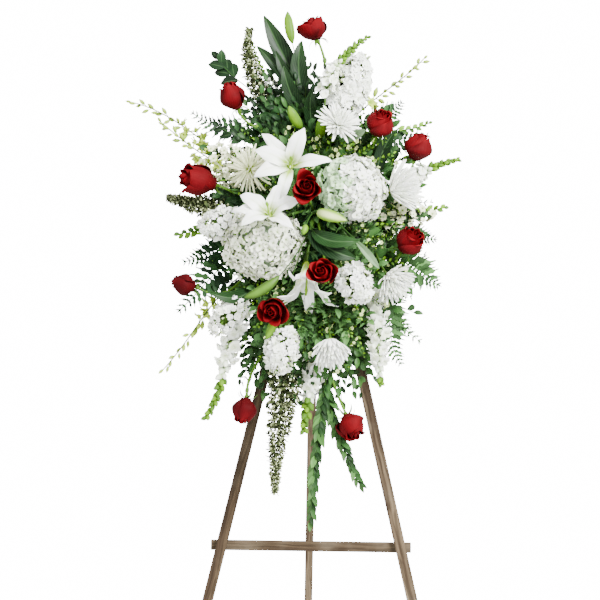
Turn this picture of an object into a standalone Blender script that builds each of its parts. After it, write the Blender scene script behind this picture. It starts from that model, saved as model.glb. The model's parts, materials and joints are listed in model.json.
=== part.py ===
"""Standing funeral spray: red roses, white flowers and greens in a foam cage, on a folding wooden easel.

Metres, +Z up. The front of the spray faces -Y, and the origin is on the floor, under the middle of the box
round the whole piece. Sizes and places of the flowers are in centimetres in the tables below, because a
florist measures them so. A place or a direction there is (across, up, out): across to the right as seen from
the front, up the leaning front frame of the easel, and out from it.
"""

import math
from collections import namedtuple

import bmesh
import bpy
from mathutils import Matrix, Vector
from mathutils.bvhtree import BVHTree

CM = 0.01
MM = 0.001
GAP = 0.3 * MM                      # between any two pieces that rest on each other
CLEAR = 0.8 * MM                    # left around a leaf or floret when it is placed
SEAM = 0.1 * MM                     # keeps the faces of two joined straps out of one plane
GOLDEN_TURN = math.radians(137.5)   # between one leaf or floret and the next round a stem

# Easel
LEG_LENGTH = 1.37                   # a 54 inch easel
LEG_SPLAY = math.radians(13)        # each front leg, from the middle line
LEG_WIDTH = 22 * MM
LEG_DEPTH = 18 * MM
LEG_TOP_ABOVE = 20 * MM             # the sawn top, above the crossing of the leg centre lines
LEAN = math.radians(10)             # of the front frame, backwards from the vertical
REAR_SWING = math.radians(20)       # of the rear leg, behind the vertical
REAR_WIDTH = 19 * MM
REAR_DEPTH = 14 * MM
BAR_LENGTH = 0.43
BAR_HEIGHT = 22 * MM
BAR_DEPTH = 12 * MM
BAR_BELOW_TOP = 0.829               # down the frame, from the crossing of the centre lines
BLOCK_WIDTH = 62 * MM
BLOCK_HEIGHT = 48 * MM
BLOCK_DEPTH = 24 * MM
BLOCK_BELOW_TOP = 52 * MM           # to the block's middle
EDGE_ROUNDING = 1.2 * MM
SHARP_EDGE = math.radians(40)       # edges that turn more than this are rounded

# Hinge of the rear leg
HINGE_LENGTH = 40 * MM
HINGE_LEAF = 18 * MM
HINGE_PLATE = 1.2 * MM
PIN_RADIUS = 1.5 * MM
PIN_PLAY = 0.2 * MM
KNUCKLE_RADIUS = 3.4 * MM
KNUCKLE_ROOM = 0.8 * MM             # round the other leaf's knuckles
KNUCKLE_SIDES = 10

# Foam cage. The middle of its back, on the front face of the legs, is the origin of all flower places.
FOAM_BELOW_TOP = 0.130
FOAM_HALF_WIDTH = 5.0 * CM
FOAM_HALF_HEIGHT = 12.5 * CM
FOAM_BACK = 0.5 * CM
FOAM_FRONT = 8.5 * CM
PLATE_HALF_WIDTH = 6.0 * CM
PLATE_PAST_STRAP = 4 * MM           # of the back plate, above and below the bands
PLATE_THICKNESS = 3 * MM
STRAP_WIDTH = 5 * MM
STRAP_THICKNESS = 2.5 * MM
HOOP_UP = 6.2 * CM                  # the two hoops lie this far above and below the middle
BAND_ACROSS = 2.5 * CM              # the two upright bands lie this far either side of it
TIE_UP = -3.0 * CM
TIE_WIDTH = 4.5 * MM
TIE_THICKNESS = 1.5 * MM
CUT_PAST = 1 * CM                   # how far a cutter runs past the face that it cuts
HOLE_DEPTH = 2.4 * CM
HOLE_PLAY = 0.6 * MM
STUB_SHORT = 1 * MM                 # of the bottom of its hole

# Stems
STEM_STEPS = 7                      # straight lengths in a bent stem
HEAD_STEM_STEPS = 4                 # and in the stem under a flower head
STEM_REACH = 0.38                   # of the stem's length, to the control points of its curve
STEM_START = 0.8 * CM               # where the curve of a stem begins, out of the foam
STEM_ASIDE = 0.55                   # of the bunch's radius, from its middle to where a stem begins
STEM_RADIUS = 2.0 * MM
STEM_TIP_RADIUS = 1.1 * MM
SPRAY_TIP_RADIUS = 0.9 * MM
ORCHID_STEM_RADIUS = 1.4 * MM
CALYX_SHARE = 0.62                  # of the rose's radius

# Origin of the whole part, from the crossing of the leg centre lines on the front faces
ORIGIN_ACROSS = -45.5 * MM
ORIGIN_BACK = 77.8 * MM

Colour = namedtuple("Colour", "rgb roughness metallic")
COLOURS = {
    "oak_stain": Colour((0.33, 0.23, 0.16), 0.7, 0.0),
    "steel": Colour((0.55, 0.54, 0.52), 0.35, 1.0),
    "foam": Colour((0.05, 0.20, 0.09), 0.95, 0.0),
    "cage": Colour((0.04, 0.12, 0.05), 0.5, 0.0),
    "tie": Colour((0.75, 0.76, 0.74), 0.5, 0.0),
    "rose_red": Colour((0.50, 0.006, 0.012), 0.55, 0.0),
    "petal_white": Colour((0.88, 0.89, 0.84), 0.6, 0.0),
    "spike_white": Colour((0.80, 0.86, 0.70), 0.6, 0.0),
    "orchid_lime": Colour((0.66, 0.74, 0.36), 0.55, 0.0),
    "leaf_green": Colour((0.05, 0.20, 0.05), 0.5, 0.0),
    "fern_green": Colour((0.04, 0.17, 0.06), 0.6, 0.0),
    "plume_green": Colour((0.20, 0.27, 0.13), 0.65, 0.0),
}

# Where each stem or bunch of stems goes into the foam, and the way that it points there.
BUNCH, LEAVES, SPIKE, FINE, PLUME = 5.0 * MM, 3.6 * MM, 2.6 * MM, 2.2 * MM, 3.0 * MM
Socket = namedtuple("Socket", "place heading radius")
SOCKETS = {
    "greens_upper": Socket((0, 12.5, 4.6), (0, 1, 0), BUNCH),
    "greens_left": Socket((-5, 0.6, 6.2), (-1, 0, 0), BUNCH),
    "greens_right": Socket((5, 0.6, 6.2), (1, 0, 0), BUNCH),
    "greens_lower": Socket((0, -12.5, 5.6), (0, -1, 0), BUNCH),
    "greens_front": Socket((0, 0, 8.5), (0, 0, 1), 1.3 * BUNCH),
    "plume_upper": Socket((-3.9, 12.5, 3.2), (0, 1, 0), PLUME),
    "snapdragon_upper_left": Socket((-3.9, 12.5, 6.4), (0, 1, 0), SPIKE),
    "snapdragon_upper_right": Socket((3.9, 12.5, 6.4), (0, 1, 0), SPIKE),
    "orchid_upper_right": Socket((3.9, 12.5, 3.2), (0, 1, 0), FINE),
    "orchid_upper_left": Socket((-5, 9.8, 3.0), (-1, 0, 0), FINE),
    "orchid_left": Socket((-5, 8.6, 6.2), (-1, 0, 0), FINE),
    "plume_left": Socket((-5, 3.2, 2.8), (-1, 0, 0), PLUME),
    "foliage_left": Socket((-5, -3.2, 3.0), (-1, 0, 0), LEAVES),
    "orchid_lower_left": Socket((-5, -8.6, 3.0), (-1, 0, 0), FINE),
    "snapdragon_lower_left": Socket((-5, -9.8, 6.2), (-1, 0, 0), SPIKE),
    "snapdragon_right": Socket((5, 4.2, 3.0), (1, 0, 0), SPIKE),
    "foliage_right": Socket((5, -3.2, 3.0), (1, 0, 0), LEAVES),
    "snapdragon_lower_right": Socket((5, -9.4, 5.6), (1, 0, 0), SPIKE),
    "plume_lower": Socket((-3.9, -12.5, 4.6), (0, -1, 0), PLUME),
    "snapdragon_lower": Socket((0, -12.5, 2.4), (0, -1, 0), SPIKE),
    "foliage_lower": Socket((3.9, -12.5, 4.6), (0, -1, 0), LEAVES),
}
BUNCHES = ("greens_upper", "greens_left", "greens_right", "greens_lower", "greens_front")
FOLIAGE = ("foliage_left", "foliage_right", "foliage_lower")

# Heads of flowers: place is the middle of the head, facing the way that it opens, bunch the socket that its
# stem shares, and bend pushes the two middle control points of that stem's curve aside.
STRAIGHT = (0, 0, 0)
Rose = namedtuple("Rose", "place facing radius height mouth bunch bend", defaults=(STRAIGHT,))
ROSES = {
    "rose_top": Rose((-1, 42.5, 9), (-0.35, 0.9, 0.25), 3.1, 5.0, 1.00, "greens_upper", (1, 0, 0)),
    "rose_upper_left": Rose((-18.5, 26, 12), (-0.45, 0.8, 0.4), 2.9, 5.6, 0.86, "greens_upper", (-2, 0, 0)),
    "rose_upper_right": Rose((13.5, 19.5, 15), (0.25, 0.6, 0.76), 3.1, 5.2, 0.92, "greens_upper", (2, -2, 0)),
    "rose_far_right": Rose((22, 15.5, 11), (0.3, 0.9, 0.3), 3.1, 5.4, 0.80, "greens_right"),
    "rose_left": Rose((-25.5, 7, 13), (-0.94, 0.1, 0.3), 2.8, 7.2, 0.95, "greens_left"),
    "rose_right": Rose((20, -6, 15), (0.4, -0.25, 0.88), 3.2, 5.0, 1.05, "greens_right"),
    "rose_centre": Rose((-2, 2, 26.5), (0.05, 0, 1), 3.2, 4.8, 1.12, "greens_front"),
    "rose_low_centre": Rose((1.5, -15, 24.5), (0.05, 0.15, 0.98), 3.4, 4.8, 1.15, "greens_front", (0, 1, 0)),
    "rose_low_left": Rose((-9, -22.5, 20), (-0.15, -0.2, 0.97), 3.6, 4.8, 1.15, "greens_front", (0, -4, -2)),
    "rose_far_left": Rose((-28, -15.5, 11), (-0.92, 0.2, 0.15), 2.4, 5.2, 0.70, "greens_left", (2, -4, 0)),
    "rose_hanging_left": Rose((-14.5, -42.5, 12), (-0.15, -0.98, 0.15), 2.6, 5.4, 0.95, "greens_lower",
                              (-2, 0, 0)),
    "rose_hanging_right": Rose((8, -45.5, 12.5), (0.25, -0.92, 0.3), 3.2, 5.4, 1.10, "greens_lower"),
}
Lily = namedtuple("Lily", "place facing reach opening turn bunch bend", defaults=(STRAIGHT,))
LILIES = {
    "lily_upper": Lily((-6, 9, 20.5), (-0.05, 0.1, 1), 9.5, 1.0, 20, "greens_front"),
    "lily_middle": Lily((-11, -4, 23), (-0.25, 0.15, 0.95), 8.5, 0.9, 50, "greens_front", (0, 2, 2)),
    "lily_hanging": Lily((-1.5, -13.5, 15.5), (0.02, -0.93, 0.36), 8.5, 0.45, 0, "greens_front"),
}
Cluster = namedtuple("Cluster", "place facing radius length bunch bend", defaults=(STRAIGHT,))
HYDRANGEAS = {
    "hydrangea_right": Cluster((7.5, 4, 16.5), (0.15, 0.05, 1), 7.4, 12, "greens_front"),
    "hydrangea_left": Cluster((-13, -10.5, 14.5), (-0.15, -0.1, 1), 7.9, 12, "greens_front"),
}
STOCKS = {
    "stock_top": Cluster((7.5, 29.5, 11), (0.35, 0.92, 0.15), 4.4, 12.5, "greens_upper"),
    "stock_right": Cluster((8.5, -16.5, 18.5), (0.4, -0.6, 0.7), 3.7, 8.5, "greens_front"),
    "stock_low": Cluster((-6, -31.5, 15.5), (-0.1, -0.9, 0.42), 3.7, 9.5, "greens_lower"),
    "stock_left": Cluster((-22.5, -1, 13), (-0.9, -0.05, 0.42), 3.7, 9.0, "greens_left"),
    "stock_low_left": Cluster((-20, -25, 11.5), (-0.6, -0.78, 0.2), 3.6, 9.0, "greens_left"),
}
Mum = namedtuple("Mum", "place facing radius droop bunch")
MUMS = {
    "mum_left": Mum((-15.5, 8.5, 13.5), (-0.3, 0.1, 0.95), 5.6, 0.25, "greens_left"),
    "mum_top": Mum((4.5, 19, 15.5), (0.35, 0.8, 0.45), 5.0, 0.85, "greens_upper"),
    "mum_right": Mum((19.5, 4.5, 11.5), (0.85, 0.05, 0.5), 5.0, 0.85, "greens_right"),
    "mum_low_right": Mum((16.5, -14.5, 14), (0.45, -0.6, 0.66), 5.0, 0.85, "greens_right"),
    "mum_low": Mum((4, -30, 15.5), (0.1, -0.85, 0.5), 5.0, 0.90, "greens_lower"),
}

# Whole stems that carry their own florets: where the tip is, the way that it points there, and the share of
# the stem from which it flowers.
Spray = namedtuple("Spray", "tip pointing flowering bend", defaults=(STRAIGHT,))
SNAPDRAGONS = {
    "snapdragon_upper_left": Spray((-14.5, 40, 6), (-0.25, 0.95, 0), 0.42),
    "snapdragon_upper_right": Spray((11, 39, 8), (0.5, 0.85, 0), 0.48, (-2, 0, -2)),
    "snapdragon_right": Spray((31, 13.5, 8), (0.97, 0.15, 0.1), 0.52),
    "snapdragon_lower_left": Spray((-22.5, -44, 10), (-0.45, -0.9, 0), 0.48, (0, -2, 0)),
    "snapdragon_lower": Spray((-2, -46.5, 11), (-0.15, -0.98, 0), 0.55),
    "snapdragon_lower_right": Spray((13.5, -37, 12), (0.2, -0.95, 0), 0.45),
}
ORCHIDS = {
    "orchid_upper_left": Spray((-41, 25.5, 8), (-0.95, 0.2, 0), 0.50),
    "orchid_left": Spray((-34, 20.5, 10), (-0.75, 0.65, 0), 0.50),
    "orchid_upper_right": Spray((23.5, 36.5, 8), (0.65, 0.75, 0), 0.55),
    "orchid_lower_left": Spray((-32, -33.5, 8), (-0.65, -0.75, 0), 0.45),
}
PLUMES = {
    "plume_upper": Spray((-15.5, 43, 6.5), (-0.2, 0.98, 0), 0.35, (-2, 0, 0)),
    "plume_left": Spray((-32, 3.7, 8), (-0.9, 0.3, 0), 0.45),
    "plume_lower": Spray((-7.7, -60, 13), (0.02, -1, 0), 0.45),
}

# Green stems: root is the socket that one shares, width is that of the frond, leaf or bud, and leafy the
# share of the stem from which it begins.
Frond = namedtuple("Frond", "kind root tip pointing width leafy bend", defaults=(STRAIGHT,))
FRONDS = {
    "fern_far_left": Frond("fern", "foliage_left", (-28.5, -20.5, 8), (-0.75, -0.65, 0), 7.0, 0.55),
    "fern_left": Frond("fern", "foliage_left", (-29, -8, 6), (-0.95, 0.2, 0), 6.0, 0.55),
    "fern_right": Frond("fern", "foliage_right", (26, -13.5, 8), (0.8, -0.6, 0), 7.0, 0.55),
    "fern_low_right": Frond("fern", "foliage_right", (20, -26, 8), (0.7, -0.7, 0), 7.0, 0.55),
    "fern_upper_left": Frond("fern", "greens_upper", (-29, 19.5, 6), (-0.9, 0.4, 0), 6.0, 0.60, (0, 0, -4)),
    "fern_upper_right": Frond("fern", "greens_upper", (24, 20, 7), (0.9, 0.4, 0), 6.5, 0.60),
    "ruscus_upper_left": Frond("ruscus", "greens_upper", (-25, 36, 6), (-0.7, 0.7, 0), 3.2, 0.66),
    "ruscus_middle": Frond("ruscus", "foliage_lower", (0.5, -67, 15), (0, -1, 0), 2.4, 0.42),
    "ruscus_right": Frond("ruscus", "foliage_lower", (10.5, -59, 13), (0.25, -0.97, 0), 2.4, 0.45, (-4, 0, -2)),
    "leaf_top_left": Frond("leaf", "greens_upper", (-12.5, 45.5, 8.5), (-0.45, 0.9, 0.1), 3.6, 0.50),
    "leaf_top": Frond("leaf", "greens_upper", (-4.5, 39, 9.5), (-0.1, 1, 0), 3.6, 0.45),
    "leaf_right": Frond("leaf", "greens_front", (8.5, -7, 23), (0.9, -0.2, 0.2), 3.2, 0.45),
    "leaf_low_right": Frond("leaf", "greens_front", (7.5, -11.5, 22), (0.8, -0.5, 0.2), 3.2, 0.45),
    "leaf_low_left": Frond("leaf", "greens_left", (-24.5, -17.5, 15), (-0.9, -0.1, 0.1), 3.2, 0.45,
                           (-4, -4, -4)),
    "lily_bud_top": Frond("bud", "greens_upper", (-6.8, 46, 10), (-0.1, 1, 0), 1.7, 0.82),
    "lily_bud_right": Frond("bud", "greens_front", (6, -2.5, 25), (0.9, 0, 0.3), 2.2, 0.70),
    "lily_bud_low": Frond("bud", "greens_front", (-15, -20.5, 21), (-0.6, -0.7, 0.3), 2.4, 0.74, (0, -2, 2)),
}


# The easel frame: +X across, +Z up the front frame and -Y out of it

def at(across, up, out):
    """The point this many centimetres across, up and out from the middle of the foam's back."""
    return Vector((across * CM, -out * CM, up * CM))


def way(across, up, out):
    return Vector((across, -out, up)).normalized()


OUT = way(0, 0, 1)


def easel_to_world():
    """Carries the easel frame to the world: it leans back, and its front legs stand on the floor."""
    crossing_height = LEG_LENGTH * math.cos(LEG_SPLAY) * math.cos(LEAN)
    origin = Vector((-ORIGIN_ACROSS, -FOAM_BELOW_TOP * math.sin(LEAN) - ORIGIN_BACK,
                     crossing_height - FOAM_BELOW_TOP * math.cos(LEAN)))
    return Matrix.Translation(origin) @ Matrix.Rotation(-LEAN, 4, "X")


EASEL = easel_to_world()


def turned_to(axis, spin=0.0):
    """The rotation that carries +Z to axis, after a spin about +Z."""
    return axis.to_track_quat("Z", "Y").to_matrix().to_4x4() @ Matrix.Rotation(spin, 4, "Z")


# Closed shells, each a pair of a point list and a face list

def moved(shell, matrix):
    points, faces = shell
    return [matrix @ p for p in points], faces


def outward(shell):
    """The same shell with its faces pointing out."""
    points, faces = shell
    volume = 0.0
    for face in faces:
        for i in range(1, len(face) - 1):
            volume += points[face[0]].dot(points[face[i]].cross(points[face[i + 1]]))
    if volume >= 0:
        return shell
    return points, [tuple(reversed(face)) for face in faces]


def circle(sides, start=0.0):
    """The angles of the corners of a regular polygon."""
    return [start + 2 * math.pi * k / sides for k in range(sides)]


def skinned(rings, tip=None):
    """A closed shell through rings of equal length, from a flat cap to another or to a tip."""
    size = len(rings[0])
    points = [p for ring in rings for p in ring]
    last = len(points) - size
    faces = [tuple(reversed(range(size)))]
    for i in range(len(rings) - 1):
        for k in range(size):
            after = (k + 1) % size
            faces.append((i * size + k, i * size + after, (i + 1) * size + after, (i + 1) * size + k))
    if tip is None:
        faces.append(tuple(range(last, last + size)))
    else:
        points.append(tip)
        faces += [(last + k, last + (k + 1) % size, len(points) - 1) for k in range(size)]
    return outward((points, faces))


def pointed(rim, top, bottom):
    """A closed shell of one rim between two points."""
    count = len(rim)
    faces = [(k, (k + 1) % count, count) for k in range(count)]
    faces += [((k + 1) % count, k, count + 1) for k in range(count)]
    return outward((list(rim) + [top, bottom], faces))


def box(low, high):
    """A box between two corners."""
    x0, y0, z0 = low
    x1, y1, z1 = high
    return skinned([[Vector((x, y, z)) for x, y in ((x0, y0), (x1, y0), (x1, y1), (x0, y1))] for z in (z0, z1)])


def tube(path, radii, sides, arriving=None):
    """A stem along a path, tapering through radii; where arriving is given, its end is cut square to that."""
    rings = []
    side = (path[1] - path[0]).orthogonal().normalized()
    for i, point in enumerate(path):
        along = (path[min(i + 1, len(path) - 1)] - path[max(i - 1, 0)]).normalized()
        if arriving and i == len(path) - 1:
            along = arriving
        side = (side - along * side.dot(along)).normalized()
        other = along.cross(side)
        rings.append([point + (side * math.cos(a) + other * math.sin(a)) * radii[i] for a in circle(sides)])
    return skinned(rings)


def blade(length, width, stations, bend, cup, thick):
    """A leaf or petal that grows along +Y, with its upper face to +Z.

    stations are (share of the length, share of the half width). bend is the angle that it curves down by, and
    cup lifts its edges by that share of its half width.
    """
    rings = []
    centre = Vector((0, 0, 0))
    last_share = 0.0
    for share, half in stations:
        angle = bend * (share + last_share) / 2
        centre = centre + Vector((0, math.cos(angle), -math.sin(angle))) * (share - last_share) * length
        last_share = share
        up = Vector((0, math.sin(bend * share), math.cos(bend * share)))
        reach = half * width / 2
        side = Vector((reach, 0, 0))
        edge = up * cup * reach
        rings.append([centre - side + edge, centre - up * thick / 2,
                      centre + side + edge, centre + up * thick / 2])
    angle = bend * (1 + last_share) / 2
    return skinned(rings, centre + Vector((0, math.cos(angle), -math.sin(angle))) * (1 - last_share) * length)


def kite(length, width, thick):
    """The smallest leaf, along +Y, widest a little below its middle."""
    middle = length * 0.45
    rim = [Vector((-width / 2, middle, 0)), Vector((0, middle, -thick / 2)),
           Vector((width / 2, middle, 0)), Vector((0, middle, thick / 2))]
    return pointed(rim, Vector((0, 0, 0)), Vector((0, length, 0)))


def bud(length, radius, sides=4):
    """A pointed bud that grows along +Y."""
    rim = [Vector((radius * math.cos(a), length / 2, radius * math.sin(a))) for a in circle(sides)]
    return pointed(rim, Vector((0, 0, 0)), Vector((0, length, 0)))


def star(petals, radius, notch, lift, root):
    """A flat flower facing +Z, of petals with notches between them, over a root that runs down to a point."""
    rim = []
    for angle in circle(petals):
        rim.append(Vector((radius * math.cos(angle), radius * math.sin(angle), lift)))
        angle += math.pi / petals
        rim.append(Vector((notch * radius * math.cos(angle), notch * radius * math.sin(angle), 0)))
    return pointed(rim, Vector((0, 0, 0.02 * radius)), Vector((0, 0, -root)))


# Objects

def material(name):
    """One Principled material for each named colour."""
    found = bpy.data.materials.get(name)
    if found:
        return found
    colour = COLOURS[name]
    made = bpy.data.materials.new(name)
    made.use_nodes = True
    shader = made.node_tree.nodes["Principled BSDF"]
    shader.inputs["Base Color"].default_value = (*colour.rgb, 1)
    shader.inputs["Roughness"].default_value = colour.roughness
    shader.inputs["Metallic"].default_value = colour.metallic
    return made


def mesh_of(name, shell):
    points, faces = shell
    mesh = bpy.data.meshes.new(name)
    mesh.from_pydata(points, [], faces)
    return mesh


def shell_of(mesh):
    return [v.co.copy() for v in mesh.vertices], [tuple(p.vertices) for p in mesh.polygons]


def linked(name, data, collection=None):
    """A new object in the scene, or in this collection."""
    made = bpy.data.objects.new(name, data)
    (collection or bpy.context.scene.collection).objects.link(made)
    return made


def evaluated_mesh(thing):
    graph = bpy.context.evaluated_depsgraph_get()
    return bpy.data.meshes.new_from_object(thing.evaluated_get(graph))


def one_body(mesh):
    """Keeps the outermost shell only: crossing stems can seal a pocket or leave a loose scrap."""
    work = bmesh.new()
    work.from_mesh(mesh)
    left = set(work.verts)
    shells = []
    while left:
        shell, edge = set(), [left.pop()]
        while edge:
            vertex = edge.pop()
            shell.add(vertex)
            for link in vertex.link_edges:
                other = link.other_vert(vertex)
                if other in left:
                    left.remove(other)
                    edge.append(other)
        shells.append(shell)

    def extent(shell):
        return sum(max(v.co[i] for v in shell) - min(v.co[i] for v in shell) for i in range(3))

    largest = max(shells, key=extent)
    bmesh.ops.delete(work, geom=[v for shell in shells if shell is not largest for v in shell], context="VERTS")
    work.to_mesh(mesh)
    work.free()
    return mesh


def combined(name, base, others, operation="UNION"):
    """One Boolean of the shell base with all the other shells, as a mesh."""
    holder = bpy.data.collections.new(name + "_repeats")
    bpy.context.scene.collection.children.link(holder)
    thing = linked(name, mesh_of(name, base))
    for i, shell in enumerate(others):
        repeat = f"{name}_repeat_{i}"
        linked(repeat, mesh_of(repeat, shell), holder)
    step = thing.modifiers.new("join", "BOOLEAN")
    step.operation = operation
    step.operand_type = "COLLECTION"
    step.collection = holder
    mesh = evaluated_mesh(thing)
    for repeat in list(holder.objects):
        bpy.data.objects.remove(repeat)
    bpy.data.collections.remove(holder)
    bpy.data.objects.remove(thing)
    return one_body(mesh)


def lies_inside(point, tree):
    """Whether a ray from the point leaves the solid more often than it enters it."""
    direction = Vector((0.31, 0.52, 0.79)).normalized()
    crossings = 0
    while True:
        spot = tree.ray_cast(point, direction)[0]
        if spot is None:
            return crossings % 2 == 1
        crossings += 1
        point = spot + direction * 0.01 * MM


class Surroundings:
    """The solids already in place, as search trees in the easel frame, so that later ones are set clear."""

    def __init__(self):
        self.trees = {}

    def add(self, name, points, faces):
        low = [min(p[i] for p in points) for i in range(3)]
        high = [max(p[i] for p in points) for i in range(3)]
        self.trees[name] = (BVHTree.FromPolygons(points, faces), low, high)

    def touched(self, shell, clear, but=()):
        """The name of a solid that the shell crosses, lies in or comes too near to, or None."""
        points, faces = shell
        low = [min(p[i] for p in points) - clear for i in range(3)]
        high = [max(p[i] for p in points) + clear for i in range(3)]
        own = None
        for name, (tree, other_low, other_high) in self.trees.items():
            if name in but or any(low[i] > other_high[i] or high[i] < other_low[i] for i in range(3)):
                continue
            own = own or BVHTree.FromPolygons(points, faces)
            if tree.overlap(own) or lies_inside(points[0], tree):
                return name
            if any(tree.find_nearest(point, clear)[0] is not None for point in points):
                return name
        return None

    def warn(self, name, shell, clear, but=()):
        """Prints what a solid meets that should stand clear."""
        hit = self.touched(shell, clear, but)
        if hit:
            print(f"{name} meets {hit}")


around = Surroundings()


def place(name, mesh, colour, matrix, but=()):
    """Makes a node from a mesh in its own frame, which matrix carries to the easel frame."""
    shell = moved(shell_of(mesh), matrix)
    around.warn(name, shell, SEAM, but)
    around.add(name, *shell)
    made = linked(name, mesh)
    made.matrix_basis = matrix
    made.parent = bpy.data.objects["easel_frame"]
    mesh.name = name
    mesh.materials.clear()
    mesh.materials.append(material(colour))


def own_frame(mesh, origin):
    """Moves a mesh of the easel frame to an origin of its own, and gives the matrix that carries it back."""
    back = Matrix.Translation(origin)
    mesh.transform(back.inverted())
    return back


# Stems

def curve_point(controls, t):
    """A point of the Bezier curve through four control points."""
    a, b, c, d = controls
    s = 1 - t
    return a * s ** 3 + b * (3 * s * s * t) + c * (3 * s * t * t) + d * t ** 3


def stem_point(controls, share):
    """A point of the stem itself, which runs straight between its rings."""
    steps = min(max(share, 0.0), 1.0) * STEM_STEPS
    step = min(int(steps), STEM_STEPS - 1)
    before, after = (curve_point(controls, k / STEM_STEPS) for k in (step, step + 1))
    return before.lerp(after, steps - step)


def along_at(controls, share):
    """The way that the curve runs at this share of it."""
    step = 0.01
    return (curve_point(controls, min(share + step, 1)) - curve_point(controls, max(share - step, 0))).normalized()


def stem_curve(name, end, arriving, bend):
    """The control points of a stem from its socket's mouth to end, where it points along arriving."""
    socket = SOCKETS[name]
    heading = way(*socket.heading)
    start = at(*socket.place) + heading * STEM_START
    if name in BUNCHES:
        aside = end - start
        aside -= heading * aside.dot(heading)
        start += aside.normalized() * socket.radius * STEM_ASIDE
    reach = (end - start).length * STEM_REACH
    pushed = at(*bend)
    return start, start + heading * reach + pushed, end - arriving * reach + pushed, end


def socket_sides(name):
    return 6 if name in BUNCHES + FOLIAGE else 4


def socket_stub(name):
    """The straight foot of a stem or bunch, in its hole in the foam."""
    socket = SOCKETS[name]
    heading = way(*socket.heading)
    mouth = at(*socket.place)
    path = [mouth + heading * up for up in (STUB_SHORT - HOLE_DEPTH, 0.2 * CM, 1.0 * CM)]
    return tube(path, [socket.radius, socket.radius, 0.9 * socket.radius], socket_sides(name))


def socket_cutter(name):
    socket = SOCKETS[name]
    heading = way(*socket.heading)
    mouth = at(*socket.place)
    path = [mouth - heading * HOLE_DEPTH, mouth + heading * CUT_PAST]
    return tube(path, [socket.radius + HOLE_PLAY] * 2, socket_sides(name))


# Stand

def floor_cut(point, direction):
    """Where the line through a point of the easel frame meets the floor."""
    fall = (EASEL.to_3x3() @ direction).z
    return point - direction * ((EASEL @ point).z / fall)


def front_leg(side):
    """A front leg, mitred where the two meet: side is -1 for the left one and 1 for the right."""
    half = LEG_WIDTH / 2
    down = Vector((side * math.sin(LEG_SPLAY), 0, -math.cos(LEG_SPLAY)))
    outer = Vector((side * math.cos(LEG_SPLAY), 0, math.sin(LEG_SPLAY)))
    middle = side * GAP / 2
    top = FOAM_BELOW_TOP + LEG_TOP_ABOVE
    mitre = FOAM_BELOW_TOP - half / math.sin(LEG_SPLAY)
    top_corner = side * (half / math.cos(LEG_SPLAY) - LEG_TOP_ABOVE * math.tan(LEG_SPLAY))
    rings = []
    for back in (0.0, LEG_DEPTH):
        crossing = Vector((0, back, FOAM_BELOW_TOP))
        rings.append([
            Vector((middle, back, top)),
            Vector((top_corner, back, top)),
            floor_cut(crossing + outer * half, down),
            floor_cut(crossing - outer * half, down),
            Vector((middle, back, mitre)),
        ])
    return skinned(rings)


def wooden(name, shell):
    """A sawn piece, with its sharp edges taken off."""
    thing = linked(name, mesh_of(name, shell))
    thing.data.materials.append(material("oak_stain"))
    eased = thing.modifiers.new("eased edges", "BEVEL")
    eased.width = EDGE_ROUNDING
    eased.segments = 1
    eased.limit_method = "ANGLE"
    eased.angle_limit = SHARP_EDGE
    return thing


def on_frame(thing, location):
    """Fixes a piece to the easel frame, and notes where it is."""
    thing.parent = bpy.data.objects["easel_frame"]
    thing.location = location
    around.add(thing.name, *moved(shell_of(evaluated_mesh(thing)), Matrix.Translation(location)))


def make_stand():
    """The front frame, and the rear leg with its hinge."""
    crossing = Vector((0, 0, FOAM_BELOW_TOP))
    for name, side in (("leg_left", -1), ("leg_right", 1)):
        on_frame(wooden(name, moved(front_leg(side), Matrix.Translation(-crossing))), crossing)
    back = LEG_DEPTH + GAP
    bar = box((-BAR_LENGTH / 2, 0, -BAR_HEIGHT / 2), (BAR_LENGTH / 2, BAR_DEPTH, BAR_HEIGHT / 2))
    on_frame(wooden("cross_bar", bar), Vector((0, back, FOAM_BELOW_TOP - BAR_BELOW_TOP)))
    block = box((-BLOCK_WIDTH / 2, 0, -BLOCK_HEIGHT / 2), (BLOCK_WIDTH / 2, BLOCK_DEPTH, BLOCK_HEIGHT / 2))
    block_up = FOAM_BELOW_TOP - BLOCK_BELOW_TOP
    on_frame(wooden("head_block", block), Vector((0, back, block_up)))

    offset = KNUCKLE_RADIUS + GAP
    pivot = Vector((0, back + offset, block_up - BLOCK_HEIGHT / 2 - offset))
    joint = linked("rear_hinge_axis", None)
    joint.location = EASEL @ pivot
    leg = wooden("rear_leg", rear_leg(offset, joint.location.z))
    for thing in (leg, moving_leaf()):
        thing.parent = joint
        thing.rotation_euler.x = REAR_SWING
    fixed = fixed_leaf()
    fixed.parent = bpy.data.objects["easel_frame"]
    fixed.location = pivot


def rear_leg(offset, pivot_height):
    """The rear leg, straight down from the hinge axis and this far behind it.

    Its top is sawn to the slope of the block's underside, and bears on the hinge there when the leg is out.
    """
    opening = LEAN + REAR_SWING
    bearing = KNUCKLE_RADIUS - HINGE_PLATE - GAP
    section = []
    for face, ends in ((offset, ("top", "foot")), (offset + REAR_DEPTH, ("foot", "top"))):
        top = (bearing - face * math.sin(opening)) / math.cos(opening)
        foot = -(pivot_height + face * math.sin(REAR_SWING)) / math.cos(REAR_SWING)
        section += [(face, top if end == "top" else foot) for end in ends]
    return skinned([[Vector((x, y, z)) for y, z in section] for x in (-REAR_WIDTH / 2, REAR_WIDTH / 2)])


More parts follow.
